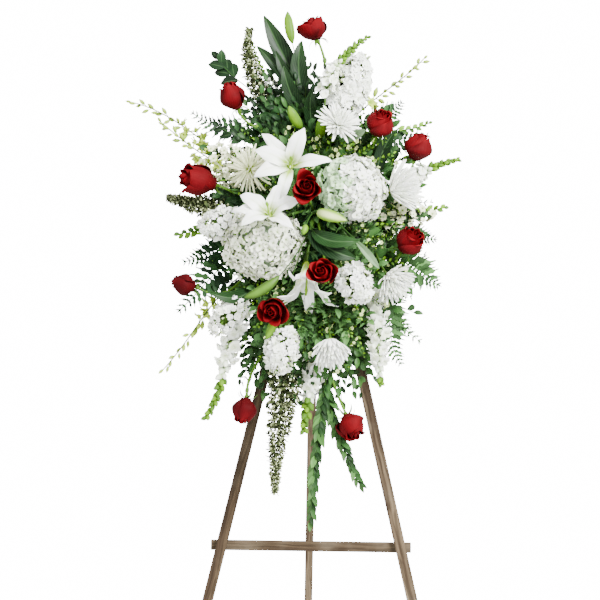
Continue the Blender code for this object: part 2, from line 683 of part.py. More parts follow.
def knuckle(low, high, bore=0.0):
    """A hinge knuckle along X: a ring, or solid where it has no bore."""
    def ring(x, radius):
        return [Vector((x, radius * math.cos(a), radius * math.sin(a))) for a in circle(KNUCKLE_SIDES)]

    if not bore:
        return skinned([ring(low, KNUCKLE_RADIUS), ring(high, KNUCKLE_RADIUS)])
    rings = [ring(low, KNUCKLE_RADIUS), ring(high, KNUCKLE_RADIUS), ring(high, bore), ring(low, bore)]
    faces = []
    for i in range(4):
        this, following = i * KNUCKLE_SIDES, (i + 1) % 4 * KNUCKLE_SIDES
        for k in range(KNUCKLE_SIDES):
            after = (k + 1) % KNUCKLE_SIDES
            faces.append((this + k, this + after, following + after, following + k))
    return outward(([p for ring_points in rings for p in ring_points], faces))


def hinge_leaf(name, plate, cutters, knuckles):
    """A leaf cut away where the other leaf's knuckles turn, with its own knuckles on it."""
    cut = combined(name, plate, cutters, "DIFFERENCE")
    made = linked(name, combined(name, shell_of(cut), knuckles))
    made.data.materials.append(material("steel"))
    bpy.data.meshes.remove(cut)
    return made


def fixed_leaf():
    """The leaf under the block, with the outer knuckles and the pin, its axis along X."""
    half, third = HINGE_LENGTH / 2, HINGE_LENGTH / 6
    room = KNUCKLE_RADIUS + KNUCKLE_ROOM
    plate = box((-half, 0, KNUCKLE_RADIUS - HINGE_PLATE), (half, HINGE_LEAF, KNUCKLE_RADIUS))
    notch = box((-third - GAP, -half, -half), (third + GAP, room, half))
    pin = tube([Vector((-half, 0, 0)), Vector((half, 0, 0))], [PIN_RADIUS] * 2, KNUCKLE_SIDES)
    outer = [knuckle(-half, -third - GAP), knuckle(third + GAP, half)]
    return hinge_leaf("hinge_frame_leaf", plate, [notch], outer + [pin])


def moving_leaf():
    """The leaf on the front of the rear leg, with the middle knuckle."""
    half, third = HINGE_LENGTH / 2, HINGE_LENGTH / 6
    room = KNUCKLE_RADIUS + KNUCKLE_ROOM
    plate = box((-REAR_WIDTH / 2, KNUCKLE_RADIUS - HINGE_PLATE, -HINGE_LEAF), (REAR_WIDTH / 2, KNUCKLE_RADIUS, 0))
    sides = [box((third, -half, -room), (half, half, half)), box((-half, -half, -room), (-third, half, half))]
    return hinge_leaf("hinge_leg_leaf", plate, sides, [knuckle(-third, third, PIN_RADIUS + PIN_PLAY)])


# Foam and cage

def make_foam():
    """The wet foam, with a plain hole for each stem or bunch."""
    block = box((-FOAM_HALF_WIDTH, -FOAM_FRONT, -FOAM_HALF_HEIGHT),
                (FOAM_HALF_WIDTH, -FOAM_BACK, FOAM_HALF_HEIGHT))
    cutters = [socket_cutter(name) for name in SOCKETS]
    place("foam_block", combined("foam_block", block, cutters, "DIFFERENCE"), "foam", Matrix())


def make_cage():
    """A back plate with two hoops and two upright bands round the foam, and slots for the ties."""
    tall = FOAM_HALF_HEIGHT + STRAP_THICKNESS + PLATE_PAST_STRAP
    plate = box((-PLATE_HALF_WIDTH, -GAP - PLATE_THICKNESS, -tall), (PLATE_HALF_WIDTH, -GAP, tall))
    side, front, top = FOAM_HALF_WIDTH + GAP, FOAM_FRONT + GAP, FOAM_HALF_HEIGHT + GAP
    thick, broad = STRAP_THICKNESS, STRAP_WIDTH / 2
    into_plate = -PLATE_THICKNESS / 2
    straps = []
    for up in (-HOOP_UP, HOOP_UP):
        for edge in (-1, 1):
            near, far = sorted((edge * side, edge * (side + thick)))
            straps.append(box((near, -front - thick, up - broad), (far, into_plate, up + broad)))
        straps.append(box((-side - thick / 2, -front - thick, up - broad + SEAM),
                          (side + thick / 2, -front, up + broad - SEAM)))
    for across in (-BAND_ACROSS, BAND_ACROSS):
        for edge in (-1, 1):
            near, far = sorted((edge * top, edge * (top + thick)))
            straps.append(box((across - broad, -front - thick, near), (across + broad, into_plate, far)))
        straps.append(box((across - broad + SEAM, -front - thick + 2.5 * SEAM, -top - thick / 2),
                          (across + broad - SEAM, -front + SEAM / 2, top + thick / 2)))
    joined = combined("cage_joined", plate, straps)
    slots = [tie_slot(leg, edge) for leg in (-1, 1) for edge in (-1, 1)]
    place("foam_cage", combined("foam_cage", shell_of(joined), slots, "DIFFERENCE"), "cage", Matrix())
    bpy.data.meshes.remove(joined)


def tie_matrix(leg):
    """Sets a tie square to its leg, where the leg passes behind the plate."""
    across = leg * (FOAM_BELOW_TOP - TIE_UP) * math.tan(LEG_SPLAY)
    return Matrix.Translation((across, 0, TIE_UP)) @ Matrix.Rotation(-leg * LEG_SPLAY, 4, "Y")


def tie_slot(leg, edge):
    middle = edge * (LEG_WIDTH / 2 + GAP + TIE_THICKNESS / 2)
    half, tall = TIE_THICKNESS / 2 + GAP, TIE_WIDTH / 2 + GAP
    slot = box((middle - half, -CUT_PAST, -tall), (middle + half, CUT_PAST, tall))
    return moved(slot, tie_matrix(leg))


def make_ties():
    """A wire tie round each front leg and through the plate."""
    inside = LEG_WIDTH / 2 + GAP
    front, back = -2 * GAP - PLATE_THICKNESS, LEG_DEPTH + GAP
    for leg, name in ((-1, "tie_left"), (1, "tie_right")):
        outer = box((-inside - TIE_THICKNESS, front - 0.7 * TIE_THICKNESS, -TIE_WIDTH / 2),
                    (inside + TIE_THICKNESS, back + TIE_THICKNESS, TIE_WIDTH / 2))
        inner = box((-inside, front, -TIE_WIDTH), (inside, back, TIE_WIDTH))
        place(name, combined(name, outer, [inner], "DIFFERENCE"), "tie", tie_matrix(leg))


# Flower heads, each facing +Z with its seat at the origin

def rose_shell(rose):
    """Two layers of four petals round a closed heart, as one wall that folds in and out."""
    columns, petal_columns = 12, 3
    radius, height, mouth = rose.radius * CM, rose.height * CM, rose.mouth
    # share of the radius and of the height, depth of the notch between petals, its drop, turn in columns
    profile = (
        (0.26, 0.0, 0.0, 0.0, 0),
        (0.80, 0.24, 0.0, 0.0, 0),
        (0.97, 0.55, 0.06, 0.0, 0),
        (1.04 * mouth, 0.80, 0.14, 0.13, 0),
        (0.74 * mouth, 0.62, 0.0, 0.0, 0),
        (0.76 * mouth, 0.94, 0.12, 0.12, 1),
        (0.42 * mouth, 0.76, 0.0, 0.0, 0),
    )
    rings = []
    for out, up, notch, drop, turn in profile:
        ring = []
        for k, angle in enumerate(circle(columns, 0.25 * turn * 2 * math.pi / columns)):
            between = (k + turn) % petal_columns == 0
            reach = out * radius * (1 - notch * between)
            ring.append(Vector((reach * math.cos(angle), reach * math.sin(angle), height * (up - drop * between))))
        rings.append(ring)
    return skinned(rings, Vector((0, 0, height)))


def lily_shells(lily):
    """A funnel with six tepals that curve back, and a pistil."""
    reach = lily.reach * CM
    throat = skinned([
        [Vector((r * reach * math.cos(a), r * reach * math.sin(a), z * reach)) for a in circle(6, 0.3)]
        for r, z in ((0.035, 0.0), (0.13, 0.30))
    ], Vector((0, 0, 0.26 * reach)))
    stations = ((0.0, 0.20), (0.38, 0.92), (0.72, 0.86))
    tepals = []
    for k in range(6):
        inner = k % 2
        width = (0.40 if inner else 0.32) * reach
        petal = blade(reach, width, stations, bend=1.0 + 0.75 * lily.opening, cup=0.28, thick=2.0 * MM)
        stand_up = Matrix.Rotation(math.radians(84 - 22 * lily.opening - 3 * inner), 4, "X")
        foot = Matrix.Translation((0, 0.03 * reach, 0.05 * reach))
        spin = Matrix.Rotation(math.radians(60 * k + lily.turn), 4, "Z")
        tepals.append(moved(petal, spin @ foot @ stand_up))
    pistil = tube([Vector((0, 0, 0.1 * reach)), Vector((0.03 * reach, 0, 0.55 * reach))], [1.6 * MM, 2.2 * MM], 4)
    return throat, tepals + [pistil]


def spread_directions(count, widest):
    """Directions even over a cap of the sphere, from +Z out to the angle widest."""
    found = []
    for i in range(count):
        height = 1 - (i + 0.5) / count * (1 - math.cos(widest))
        flat = math.sqrt(max(0.0, 1 - height * height))
        angle = GOLDEN_TURN * i
        found.append(Vector((flat * math.cos(angle), flat * math.sin(angle), height)))
    return found


def core_shell(radius, length, sides, seat):
    """An egg of the given radius and length, standing on a flat seat."""
    rings = [[Vector((seat * math.cos(a), seat * math.sin(a), 0)) for a in circle(sides)]]
    for share in (0.22, 0.55, 0.85):
        reach = radius * math.sqrt(1 - (2 * share - 1) ** 2)
        rings.append([Vector((reach * math.cos(a), reach * math.sin(a), share * length)) for a in circle(sides)])
    return skinned(rings, Vector((0, 0, length)))


def hydrangea_shells(head):
    """A round head covered with four-petalled florets."""
    count, widest = 20, math.radians(128)
    radius, length = head.radius * CM, head.length * CM
    middle = Vector((0, 0, 0.48 * length))
    size = 1.80 * radius / math.sqrt(count)
    florets = []
    for i, direction in enumerate(spread_directions(count, widest)):
        surface = middle + Vector((direction.x * radius, direction.y * radius, direction.z * 0.52 * length))
        outward_way = (surface - middle).normalized()
        floret = star(4, size, 0.60, 0.10 * size, 0.80 * size)
        matrix = Matrix.Translation(surface - outward_way * 1.5 * MM) @ turned_to(outward_way, i * 1.9)
        florets.append(moved(floret, matrix))
    return core_shell(0.82 * radius, 0.92 * length, 9, 9 * MM), florets


def stock_shells(head):
    """A short dense spike of florets, which lie flatter towards its top."""
    count = 9
    radius, length = head.radius * CM, head.length * CM
    florets = []
    for i in range(count):
        share = 0.16 + 0.80 * i / (count - 1)
        angle = GOLDEN_TURN * i
        swell = math.sqrt(max(0.05, 1 - (2 * share - 0.95) ** 2))
        lean = math.radians(10 + 75 * share ** 2)
        outward_way = Vector((math.cos(angle) * math.cos(lean), math.sin(angle) * math.cos(lean), math.sin(lean)))
        size = (2.1 - 0.7 * share) * CM * head.radius / 3.7
        surface = Vector((0, 0, share * length * 0.80)) + outward_way * radius * (0.42 + 0.55 * swell)
        floret = star(4, size, 0.60, 0.15 * size, size)
        florets.append(moved(floret, Matrix.Translation(surface) @ turned_to(outward_way, i * 1.3)))
    return core_shell(0.62 * radius, 0.92 * length, 6, 6 * MM), florets


def mum_shell(mum):
    """Three layers of narrow pointed petals, as one wall that folds in and out; droop turns them back."""
    columns = 20
    radius, droop = mum.radius * CM, mum.droop
    # radius of the petal tips and between them, height of the tips and between them, turn in columns
    profile = (
        (0.11, 0.11, 0.0, 0.0, 0.0),
        (0.40, 0.36, 0.20 - 0.05 * droop, 0.20, 0.0),
        (1.00 - 0.10 * droop, 0.50, 0.24 - 0.42 * droop, 0.30 - 0.06 * droop, 0.0),
        (0.50, 0.42, 0.36 - 0.06 * droop, 0.37, 0.0),
        (0.88 - 0.10 * droop, 0.44, 0.50 - 0.24 * droop, 0.46, 1.0),
        (0.34, 0.28, 0.52, 0.52, 1.0),
        (0.46 - 0.08 * droop, 0.20, 0.76 - 0.10 * droop, 0.62, 1.6),
    )
    rings = []
    for tip, between, tip_up, between_up, turn in profile:
        ring = []
        for k, angle in enumerate(circle(columns, turn * 2 * math.pi / columns)):
            out, up = (tip, tip_up) if k % 2 else (between, between_up)
            ring.append(Vector((out * radius * math.cos(angle), out * radius * math.sin(angle), up * radius)))
        rings.append(ring)
    return skinned(rings, Vector((0, 0, 0.66 * radius)))


# Every head of a kind: how its mesh is made, its height over its seat, its colour and its stem's radius
Kind = namedtuple("Kind", "heads mesh height colour stem")
KINDS = (
    Kind(ROSES, lambda name, rose: mesh_of(name, rose_shell(rose)),
         lambda rose: rose.height * CM, "rose_red", 2.6 * MM),
    Kind(LILIES, lambda name, lily: combined(name, *lily_shells(lily)),
         lambda lily: 0.55 * lily.reach * CM, "petal_white", 3.0 * MM),
    Kind(HYDRANGEAS, lambda name, head: combined(name, *hydrangea_shells(head)),
         lambda head: head.length * CM, "petal_white", 3.2 * MM),
    Kind(STOCKS, lambda name, head: combined(name, *stock_shells(head)),
         lambda head: head.length * CM, "petal_white", 3.2 * MM),
    Kind(MUMS, lambda name, mum: mesh_of(name, mum_shell(mum)),
         lambda mum: 0.5 * mum.radius * CM, "petal_white", 2.6 * MM),
)


def make_heads():
    """Every bloom, with its seat as its origin."""
    for kind in KINDS:
        for name, head in kind.heads.items():
            axis = way(*head.facing)
            seat = at(*head.place) - axis * kind.height(head) / 2
            place(name, kind.mesh(name, head), kind.colour, Matrix.Translation(seat) @ turned_to(axis))


# Greens: the cut stems of the heads, in bunches, with calyxes, buds and leaves

def head_stem(head, kind):
    """The stem under one head, from its bunch's socket to just below the seat."""
    axis = way(*head.facing)
    seat = at(*head.place) - axis * (kind.height(head) / 2 + GAP)
    controls = stem_curve(head.bunch, seat, axis, getattr(head, "bend", STRAIGHT))
    path = [curve_point(controls, i / HEAD_STEM_STEPS) for i in range(HEAD_STEM_STEPS)] + [seat]
    return tube(path, [kind.stem] * len(path), 3, axis), seat, axis


def calyx(seat, axis, radius):
    """Five green sepals under a rose, turned down a little."""
    under = star(5, radius, 0.36, -0.16 * radius, 1.5 * CM)
    return moved(under, Matrix.Translation(seat - axis * 0.03 * radius) @ turned_to(axis))


def grown(root, direction, upper):
    """Carries a shell that grows along +Y, upper face to +Z, to its root and direction."""
    along = direction.normalized()
    side = along.cross(upper).normalized()
    turn = Matrix((side, along, side.cross(along))).transposed().to_4x4()
    return Matrix.Translation(root) @ turn


def stem_path(controls, radius, tip_radius, last=1.0):
    """A thin stem along its curve, up to the share last."""
    shares = [i / STEM_STEPS for i in range(STEM_STEPS) if i / STEM_STEPS < last - 0.02] + [last]
    radii = [radius + (tip_radius - radius) * share for share in shares]
    return tube([stem_point(controls, share) for share in shares], radii, 3)


def around_stem(along, turn):
    """A direction square to the stem, at this angle round it; 0 is towards the front."""
    front = (OUT - along * OUT.dot(along)).normalized()
    return front * math.cos(turn) + along.cross(front) * math.sin(turn)


def fern_blade(controls, start, width):
    """One thin arched frond whose outline is cut into forward-swept leaflets."""
    teeth, thick, waist = 6, 1.2 * MM, 0.26
    steps = 2 * teeth + 1
    spacing = (curve_point(controls, 1.0) - curve_point(controls, start)).length / steps
    rings = []
    for i in range(steps):
        share = start + (1 - start) * i / steps
        point, along = stem_point(controls, share), along_at(controls, share)
        front, side = around_stem(along, 0), around_stem(along, math.pi / 2)
        fullness = math.sin(math.pi * (0.12 + 0.80 * i / (steps - 1))) ** 0.6
        wide = width * CM / 2 * fullness
        reach, sweep = (wide, along * min(0.30 * wide, 0.7 * spacing)) if i % 2 else (waist * wide, Vector())
        rings.append([point - side * reach + sweep, point - front * thick / 2,
                      point + side * reach + sweep, point + front * thick / 2])
    return skinned(rings, curve_point(controls, 1.0) + along_at(controls, 1.0) * 0.5 * CM)


def leaf_blade(controls, start, width):
    """One broad leaf along the end of its stem's curve."""
    thick, cup = 1.8 * MM, 0.3
    rings = []
    for share, half in ((0.0, 0.16), (0.25, 0.72), (0.5, 1.0), (0.78, 0.66)):
        at_share = start + (1 - start) * share
        point, along = stem_point(controls, at_share), along_at(controls, at_share)
        front, side = around_stem(along, 0), around_stem(along, math.pi / 2)
        reach = half * width * CM / 2
        rings.append([point - side * reach + front * cup * reach, point - front * thick / 2,
                      point + side * reach + front * cup * reach, point + front * thick / 2])
    return skinned(rings, curve_point(controls, 1.0))


def end_bud(controls, start, width):
    """A closed lily bud on the end of its stem."""
    rings = []
    for share, half in ((0.0, 0.30), (0.3, 0.85), (0.65, 1.0), (0.9, 0.55)):
        at_share = start + (1 - start) * share
        point, along = stem_point(controls, at_share), along_at(controls, at_share)
        rings.append([point + around_stem(along, a) * half * width * CM / 2 for a in circle(6)])
    return skinned(rings, curve_point(controls, 1.0))


def ruscus_leaves(controls, start, width):
    """Pointed leaves in turn along both sides of the stem, with one at its tip."""
    count, last = 8, 0.97
    stations = ((0.0, 0.25), (0.4, 1.0), (0.75, 0.6))
    found = []
    for i in range(count):
        share = start + (last - start) * i / (count - 1)
        along = along_at(controls, share)
        side_turn = math.pi / 2 * (1 if i % 2 else -1) + 0.5 * math.sin(2.4 * i)
        direction = along * 0.75 + around_stem(along, side_turn)
        if i == count - 1:
            direction = along
        size = width * CM * (1.0 - 0.35 * (i / count) ** 2)
        leaf = blade(2.1 * size, size, stations, bend=0.5, cup=0.12, thick=1.6 * MM)
        found.append(moved(leaf, grown(stem_point(controls, share), direction, around_stem(along, 0))))
    return found


def snapdragon_florets(controls, start):
    """Bells in turn round the stem, smaller and tighter towards the tip."""
    count, last = 8, 0.985
    found = []
    for i in range(count):
        share = start + (last - start) * i / (count - 1)
        along = along_at(controls, share)
        size = CM * (1.0 - 0.62 * i / (count - 1))
        direction = around_stem(along, GOLDEN_TURN * i) + along * (0.55 + 0.9 * i / count)
        found.append(moved(bud(2.9 * size, 0.95 * size), grown(stem_point(controls, share), direction, along)))
    return found


def orchid_buds(controls, start):
    """Slim buds that stand off a thin stem, all round it."""
    count, last = 7, 0.97
    found = []
    for i in range(count):
        share = start + (last - start) * i / (count - 1)
        along = along_at(controls, share)
        size = CM * (1.0 - 0.4 * i / count)
        direction = around_stem(along, GOLDEN_TURN * i) + along * 0.8
        found.append(moved(bud(1.9 * size, 0.45 * size, 3), grown(stem_point(controls, share), direction, along)))
    return found


def plume_leaflets(controls, start):
    """Small leaflets all round the stem, longest in its lower half."""
    count, last = 15, 0.98
    found = []
    for i in range(count):
        share = start + (last - start) * i / (count - 1)
        along = along_at(controls, share)
        size = CM * (1.0 - 0.45 * i / count)
        direction = around_stem(along, GOLDEN_TURN * i) + along * 0.7
        leaflet = kite(2.6 * size, 1.3 * size, 1.8 * MM)
        found.append(moved(leaflet, grown(stem_point(controls, share), direction, along)))
    return found


def clear_ones(name, shells):
    """Those shells that touch no other node."""
    return [shell for shell in shells if around.touched(shell, CLEAR, (name,)) is None]


def frond_pieces(name, frond):
    """The stem of one green frond, and what grows on it: as wide as it has room for."""
    controls = frond_curve(frond)
    if frond.kind == "ruscus":
        stem = stem_path(controls, STEM_RADIUS, STEM_TIP_RADIUS, last=0.97)
        return [stem] + clear_ones(frond.root, ruscus_leaves(controls, frond.leafy, frond.width))
    stem = stem_path(controls, STEM_RADIUS, STEM_TIP_RADIUS, last=min(1.0, frond.leafy + 0.06))
    grow = {"fern": fern_blade, "leaf": leaf_blade, "bud": end_bud}[frond.kind]
    for share in (1.0, 0.85, 0.7, 0.55, 0.4):
        leaf = grow(controls, frond.leafy, frond.width * share)
        if around.touched(leaf, CLEAR, (frond.root,)) is None:
            return [stem, leaf]
    print(f"{name} has no room")
    return [stem]


def frond_curve(frond):
    return stem_curve(frond.root, at(*frond.tip), way(*frond.pointing), frond.bend)


def spray_curve(name, spray):
    return stem_curve(name, at(*spray.tip), way(*spray.pointing), spray.bend)


def bunched_stems():
    """For each bunch, the stems and calyxes of its heads."""
    bunches = {name: [] for name in BUNCHES + FOLIAGE}
    for kind in KINDS:
        for name, head in kind.heads.items():
            stem, seat, axis = head_stem(head, kind)
            around.warn(f"stem of {name}", stem, GAP, ("foam_block", name))
            bunches[head.bunch].append(stem)
            if kind.heads is ROSES:
                bunches[head.bunch].append(calyx(seat, axis, CALYX_SHARE * head.radius * CM))
    return bunches


def make_greens():
    """Every bunch and every spray: all stems are laid first, and then what grows on them, clear of them."""
    bunches = bunched_stems()
    for bunch, parts in bunches.items():
        if parts:
            mesh = combined(bunch, socket_stub(bunch), parts)
            around.add(bunch, *shell_of(mesh))
            bpy.data.meshes.remove(mesh)
    stems = {}
    for name, spray in {**SNAPDRAGONS, **ORCHIDS, **PLUMES}.items():
        radius = ORCHID_STEM_RADIUS if name in ORCHIDS else STEM_RADIUS
        stems[name] = stem_path(spray_curve(name, spray), radius, SPRAY_TIP_RADIUS)
        around.warn(f"stem of {name}", stems[name], GAP, ("foam_block",))
        around.add(name, *stems[name])
    for name, frond in FRONDS.items():
        stem = stem_path(frond_curve(frond), STEM_RADIUS, STEM_TIP_RADIUS)
        around.warn(f"stem of {name}", stem, GAP, ("foam_block", frond.root))

    for name, frond in FRONDS.items():
        bunches[frond.root] += frond_pieces(name, frond)
    for bunch, parts in bunches.items():
        around.trees.pop(bunch, None)
        mesh = combined(bunch, socket_stub(bunch), parts)
        colour = "fern_green" if bunch in FOLIAGE else "leaf_green"
        place(bunch, mesh, colour, own_frame(mesh, at(*SOCKETS[bunch].place)), but=("foam_block",))
    kinds = ((SNAPDRAGONS, snapdragon_florets, "spike_white"), (ORCHIDS, orchid_buds, "orchid_lime"),
             (PLUMES, plume_leaflets, "plume_green"))
    for sprays, grow, colour in kinds:
        for name, spray in sprays.items():
            del around.trees[name]
            florets = clear_ones(name, grow(spray_curve(name, spray), spray.flowering))
            mesh = combined(name, socket_stub(name), [stems[name]] + florets)
            place(name, mesh, colour, own_frame(mesh, at(*SOCKETS[name].place)), but=("foam_block",))


def main():
    for thing in list(bpy.data.objects):
        bpy.data.objects.remove(thing)
    frame = linked("easel_frame", None)
    frame.matrix_basis = EASEL
    make_stand()
    make_foam()
    make_cage()
    make_ties()
    make_heads()
    make_greens()


main()
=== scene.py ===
"""The look of a standing funeral spray on its wooden easel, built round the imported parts.

Every place below is (across, up, out) in centimetres, in the frame of the leaning easel, as the florist
sees it from the front. Meshes are made in metres, with the front of the spray towards -Y.
"""
import json
import logging
import math
from collections.abc import Iterator, Sequence
from dataclasses import dataclass, field
from enum import Enum
from typing import ClassVar

import bpy
import numpy as np
from mathutils import Matrix, Quaternion, Vector

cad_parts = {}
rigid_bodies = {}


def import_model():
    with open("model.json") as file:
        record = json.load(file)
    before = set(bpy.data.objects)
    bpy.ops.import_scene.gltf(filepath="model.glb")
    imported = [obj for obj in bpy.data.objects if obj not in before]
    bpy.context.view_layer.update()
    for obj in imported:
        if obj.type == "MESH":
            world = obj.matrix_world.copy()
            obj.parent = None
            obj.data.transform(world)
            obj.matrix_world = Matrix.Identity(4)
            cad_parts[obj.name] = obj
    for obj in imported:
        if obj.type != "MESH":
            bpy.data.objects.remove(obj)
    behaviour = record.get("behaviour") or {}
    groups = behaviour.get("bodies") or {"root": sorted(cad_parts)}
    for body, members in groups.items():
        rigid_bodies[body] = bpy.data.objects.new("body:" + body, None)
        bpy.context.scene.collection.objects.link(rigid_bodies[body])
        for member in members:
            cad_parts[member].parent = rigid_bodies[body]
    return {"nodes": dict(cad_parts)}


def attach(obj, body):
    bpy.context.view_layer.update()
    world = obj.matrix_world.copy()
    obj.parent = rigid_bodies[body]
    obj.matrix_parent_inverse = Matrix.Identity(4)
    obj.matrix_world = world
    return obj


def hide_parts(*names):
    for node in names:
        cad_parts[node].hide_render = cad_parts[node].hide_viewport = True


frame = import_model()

log = logging.getLogger("spray")

Triple = tuple[float, float, float]
Grid = np.ndarray

CM = 0.01
MM = 0.001
GOLDEN_TURN = math.radians(137.5)
ROOT_BODY = "frame"

# Easel: where its leaning frame stands in the world
LEG_LENGTH = 1.37
LEG_SPLAY = math.radians(13)
LEAN = math.radians(10)
REAR_SWING = math.radians(20)
FOAM_BELOW_TOP = 0.130
ORIGIN_ACROSS = -45.5 * MM
ORIGIN_BACK = 77.8 * MM

# Stems: how far their curve reaches before it turns, as a share of their length, where it starts over the
# socket, in centimetres, and how far off the middle of a bunch, as a share of its radius
STEM_REACH = 0.38
STEM_START = 0.8
STEM_ASIDE = 0.55
STRAIGHT = (0.0, 0.0, 0.0)

# The foam: half its width and height, in centimetres, and how deep stems stand in it
FOAM_ACROSS = 4.3
FOAM_UP = 11.5
STEM_DEPTH = 2.2

# Edges sharper than this stay sharp
RIM_ANGLE = math.radians(65)

# Where stems leave the foam: place, heading, radius of the stem or bunch in centimetres
SOCKETS: dict[str, tuple[Triple, Triple, float]] = {
    "greens_upper": ((0, 12.5, 4.6), (0, 1, 0), 0.5),
    "greens_left": ((-5, 0.6, 6.2), (-1, 0, 0), 0.5),
    "greens_right": ((5, 0.6, 6.2), (1, 0, 0), 0.5),
    "greens_lower": ((0, -12.5, 5.6), (0, -1, 0), 0.5),
    "greens_front": ((0, 0, 8.5), (0, 0, 1), 0.65),
    "plume_upper": ((-3.9, 12.5, 3.2), (0, 1, 0), 0.3),
    "snapdragon_upper_left": ((-3.9, 12.5, 6.4), (0, 1, 0), 0.26),
    "snapdragon_upper_right": ((3.9, 12.5, 6.4), (0, 1, 0), 0.26),
    "orchid_upper_right": ((3.9, 12.5, 3.2), (0, 1, 0), 0.22),
    "orchid_upper_left": ((-5, 9.8, 3.0), (-1, 0, 0), 0.22),
    "orchid_left": ((-5, 8.6, 6.2), (-1, 0, 0), 0.22),
    "plume_left": ((-5, 3.2, 2.8), (-1, 0, 0), 0.3),
    "foliage_left": ((-5, -3.2, 3.0), (-1, 0, 0), 0.36),
    "orchid_lower_left": ((-5, -8.6, 3.0), (-1, 0, 0), 0.22),
    "snapdragon_lower_left": ((-5, -9.8, 6.2), (-1, 0, 0), 0.26),
    "snapdragon_right": ((5, 4.2, 3.0), (1, 0, 0), 0.26),
    "foliage_right": ((5, -3.2, 3.0), (1, 0, 0), 0.36),
    "snapdragon_lower_right": ((5, -9.4, 5.6), (1, 0, 0), 0.26),
    "plume_lower": ((-3.9, -12.5, 4.6), (0, -1, 0), 0.3),
    "snapdragon_lower": ((0, -12.5, 2.4), (0, -1, 0), 0.26),
    "foliage_lower": ((3.9, -12.5, 4.6), (0, -1, 0), 0.36),
}
BUNCHES = ("greens_upper", "greens_left", "greens_right", "greens_lower", "greens_front")
FOLIAGE = ("foliage_left", "foliage_right", "foliage_lower")


# The easel frame

def at(across: float, up: float, out: float) -> Vector:
    """The point this many centimetres across, up and out from the middle of the foam's back."""
    return Vector((across * CM, -out * CM, up * CM))


def way(across: float, up: float, out: float) -> Vector:
    """A direction of the easel frame, of length one."""
    return Vector((across, -out, up)).normalized()


def easel_to_world() -> Matrix:
    """Carries the easel frame, which leans back, to the world.

    Returns:
        The matrix that does so.
    """
    crossing = LEG_LENGTH * math.cos(LEG_SPLAY) * math.cos(LEAN)
    origin = Vector((-ORIGIN_ACROSS, -FOAM_BELOW_TOP * math.sin(LEAN) - ORIGIN_BACK,
                     crossing - FOAM_BELOW_TOP * math.cos(LEAN)))
    return Matrix.Translation(origin) @ Matrix.Rotation(-LEAN, 4, "X")


EASEL = easel_to_world()
OUT = way(0, 0, 1)


def turned_to(axis: Vector, spin: float = 0.0) -> Matrix:
    """The rotation that carries +Z to axis, after a spin about +Z."""
    return axis.to_track_quat("Z", "Y").to_matrix().to_4x4() @ Matrix.Rotation(spin, 4, "Z")


def frame_of(grow: Vector, face: Vector) -> Matrix:
    """The rotation that carries +Y to grow, and +Z as near to face as it can.

    Args:
        grow: The way that a petal or leaf grows.
        face: The way that its upper face should look.

    Returns:
        A rotation of three rows.
    """
    along = grow.normalized()
    side = along.cross(face).normalized()
    return Matrix((side, along, side.cross(along))).transposed()


@dataclass(frozen=True)
class Stem:
    """The Bezier curve of one stem, through four control points in the easel frame."""

    controls: tuple[Vector, Vector, Vector, Vector]

    @classmethod
    def grown(cls, socket: str, end: Vector, arriving: Vector, bend: Triple) -> "Stem":
        """The stem from a socket's mouth to end.

        Args:
            socket: The name of the socket in the foam.
            end: Where the stem ends.
            arriving: The way that it points there.
            bend: How far the two middle control points are pushed aside, in centimetres.

        Returns:
            The stem's curve.
        """
        place, heading, radius = SOCKETS[socket]
        out = way(*heading)
        start = at(*place) + out * STEM_START * CM
        if socket in BUNCHES:
            aside = end - start
            aside -= out * aside.dot(out)
            start += aside.normalized() * radius * CM * STEM_ASIDE
        reach = (end - start).length * STEM_REACH
        pushed = at(*bend)
        return cls((start, start + out * reach + pushed, end - arriving * reach + pushed, end))

    def point(self, share: float) -> Vector:
        """The point at this share of the curve.

        Args:
            share: 0 at the foam, 1 at the end.

        Returns:
            The point.
        """
        a, b, c, d = self.controls
        s = 1 - share
        return a * s ** 3 + b * (3 * s * s * share) + c * (3 * s * share ** 2) + d * share ** 3

    def along(self, share: float) -> Vector:
        """The way that the stem runs at this share of it."""
        step = 0.01
        return (self.point(min(share + step, 1)) - self.point(max(share - step, 0))).normalized()

    def around(self, share: float, turn: float) -> Vector:
        """A direction square to the stem there; a turn of 0 is towards the front.

        Args:
            share: The share of the curve.
            turn: The turn round the stem, from its front.

        Returns:
            The direction, of length one.
        """
        along = self.along(share)
        front = (OUT - along * OUT.dot(along)).normalized()
        return front * math.cos(turn) + along.cross(front) * math.sin(turn)

    def path(self, start: float, end: float, steps: int) -> list[Vector]:
        """Points along a stretch of the curve."""
        return [self.point(start + (end - start) * i / steps) for i in range(steps + 1)]


# Meshes

Colour = tuple[float, float, float]


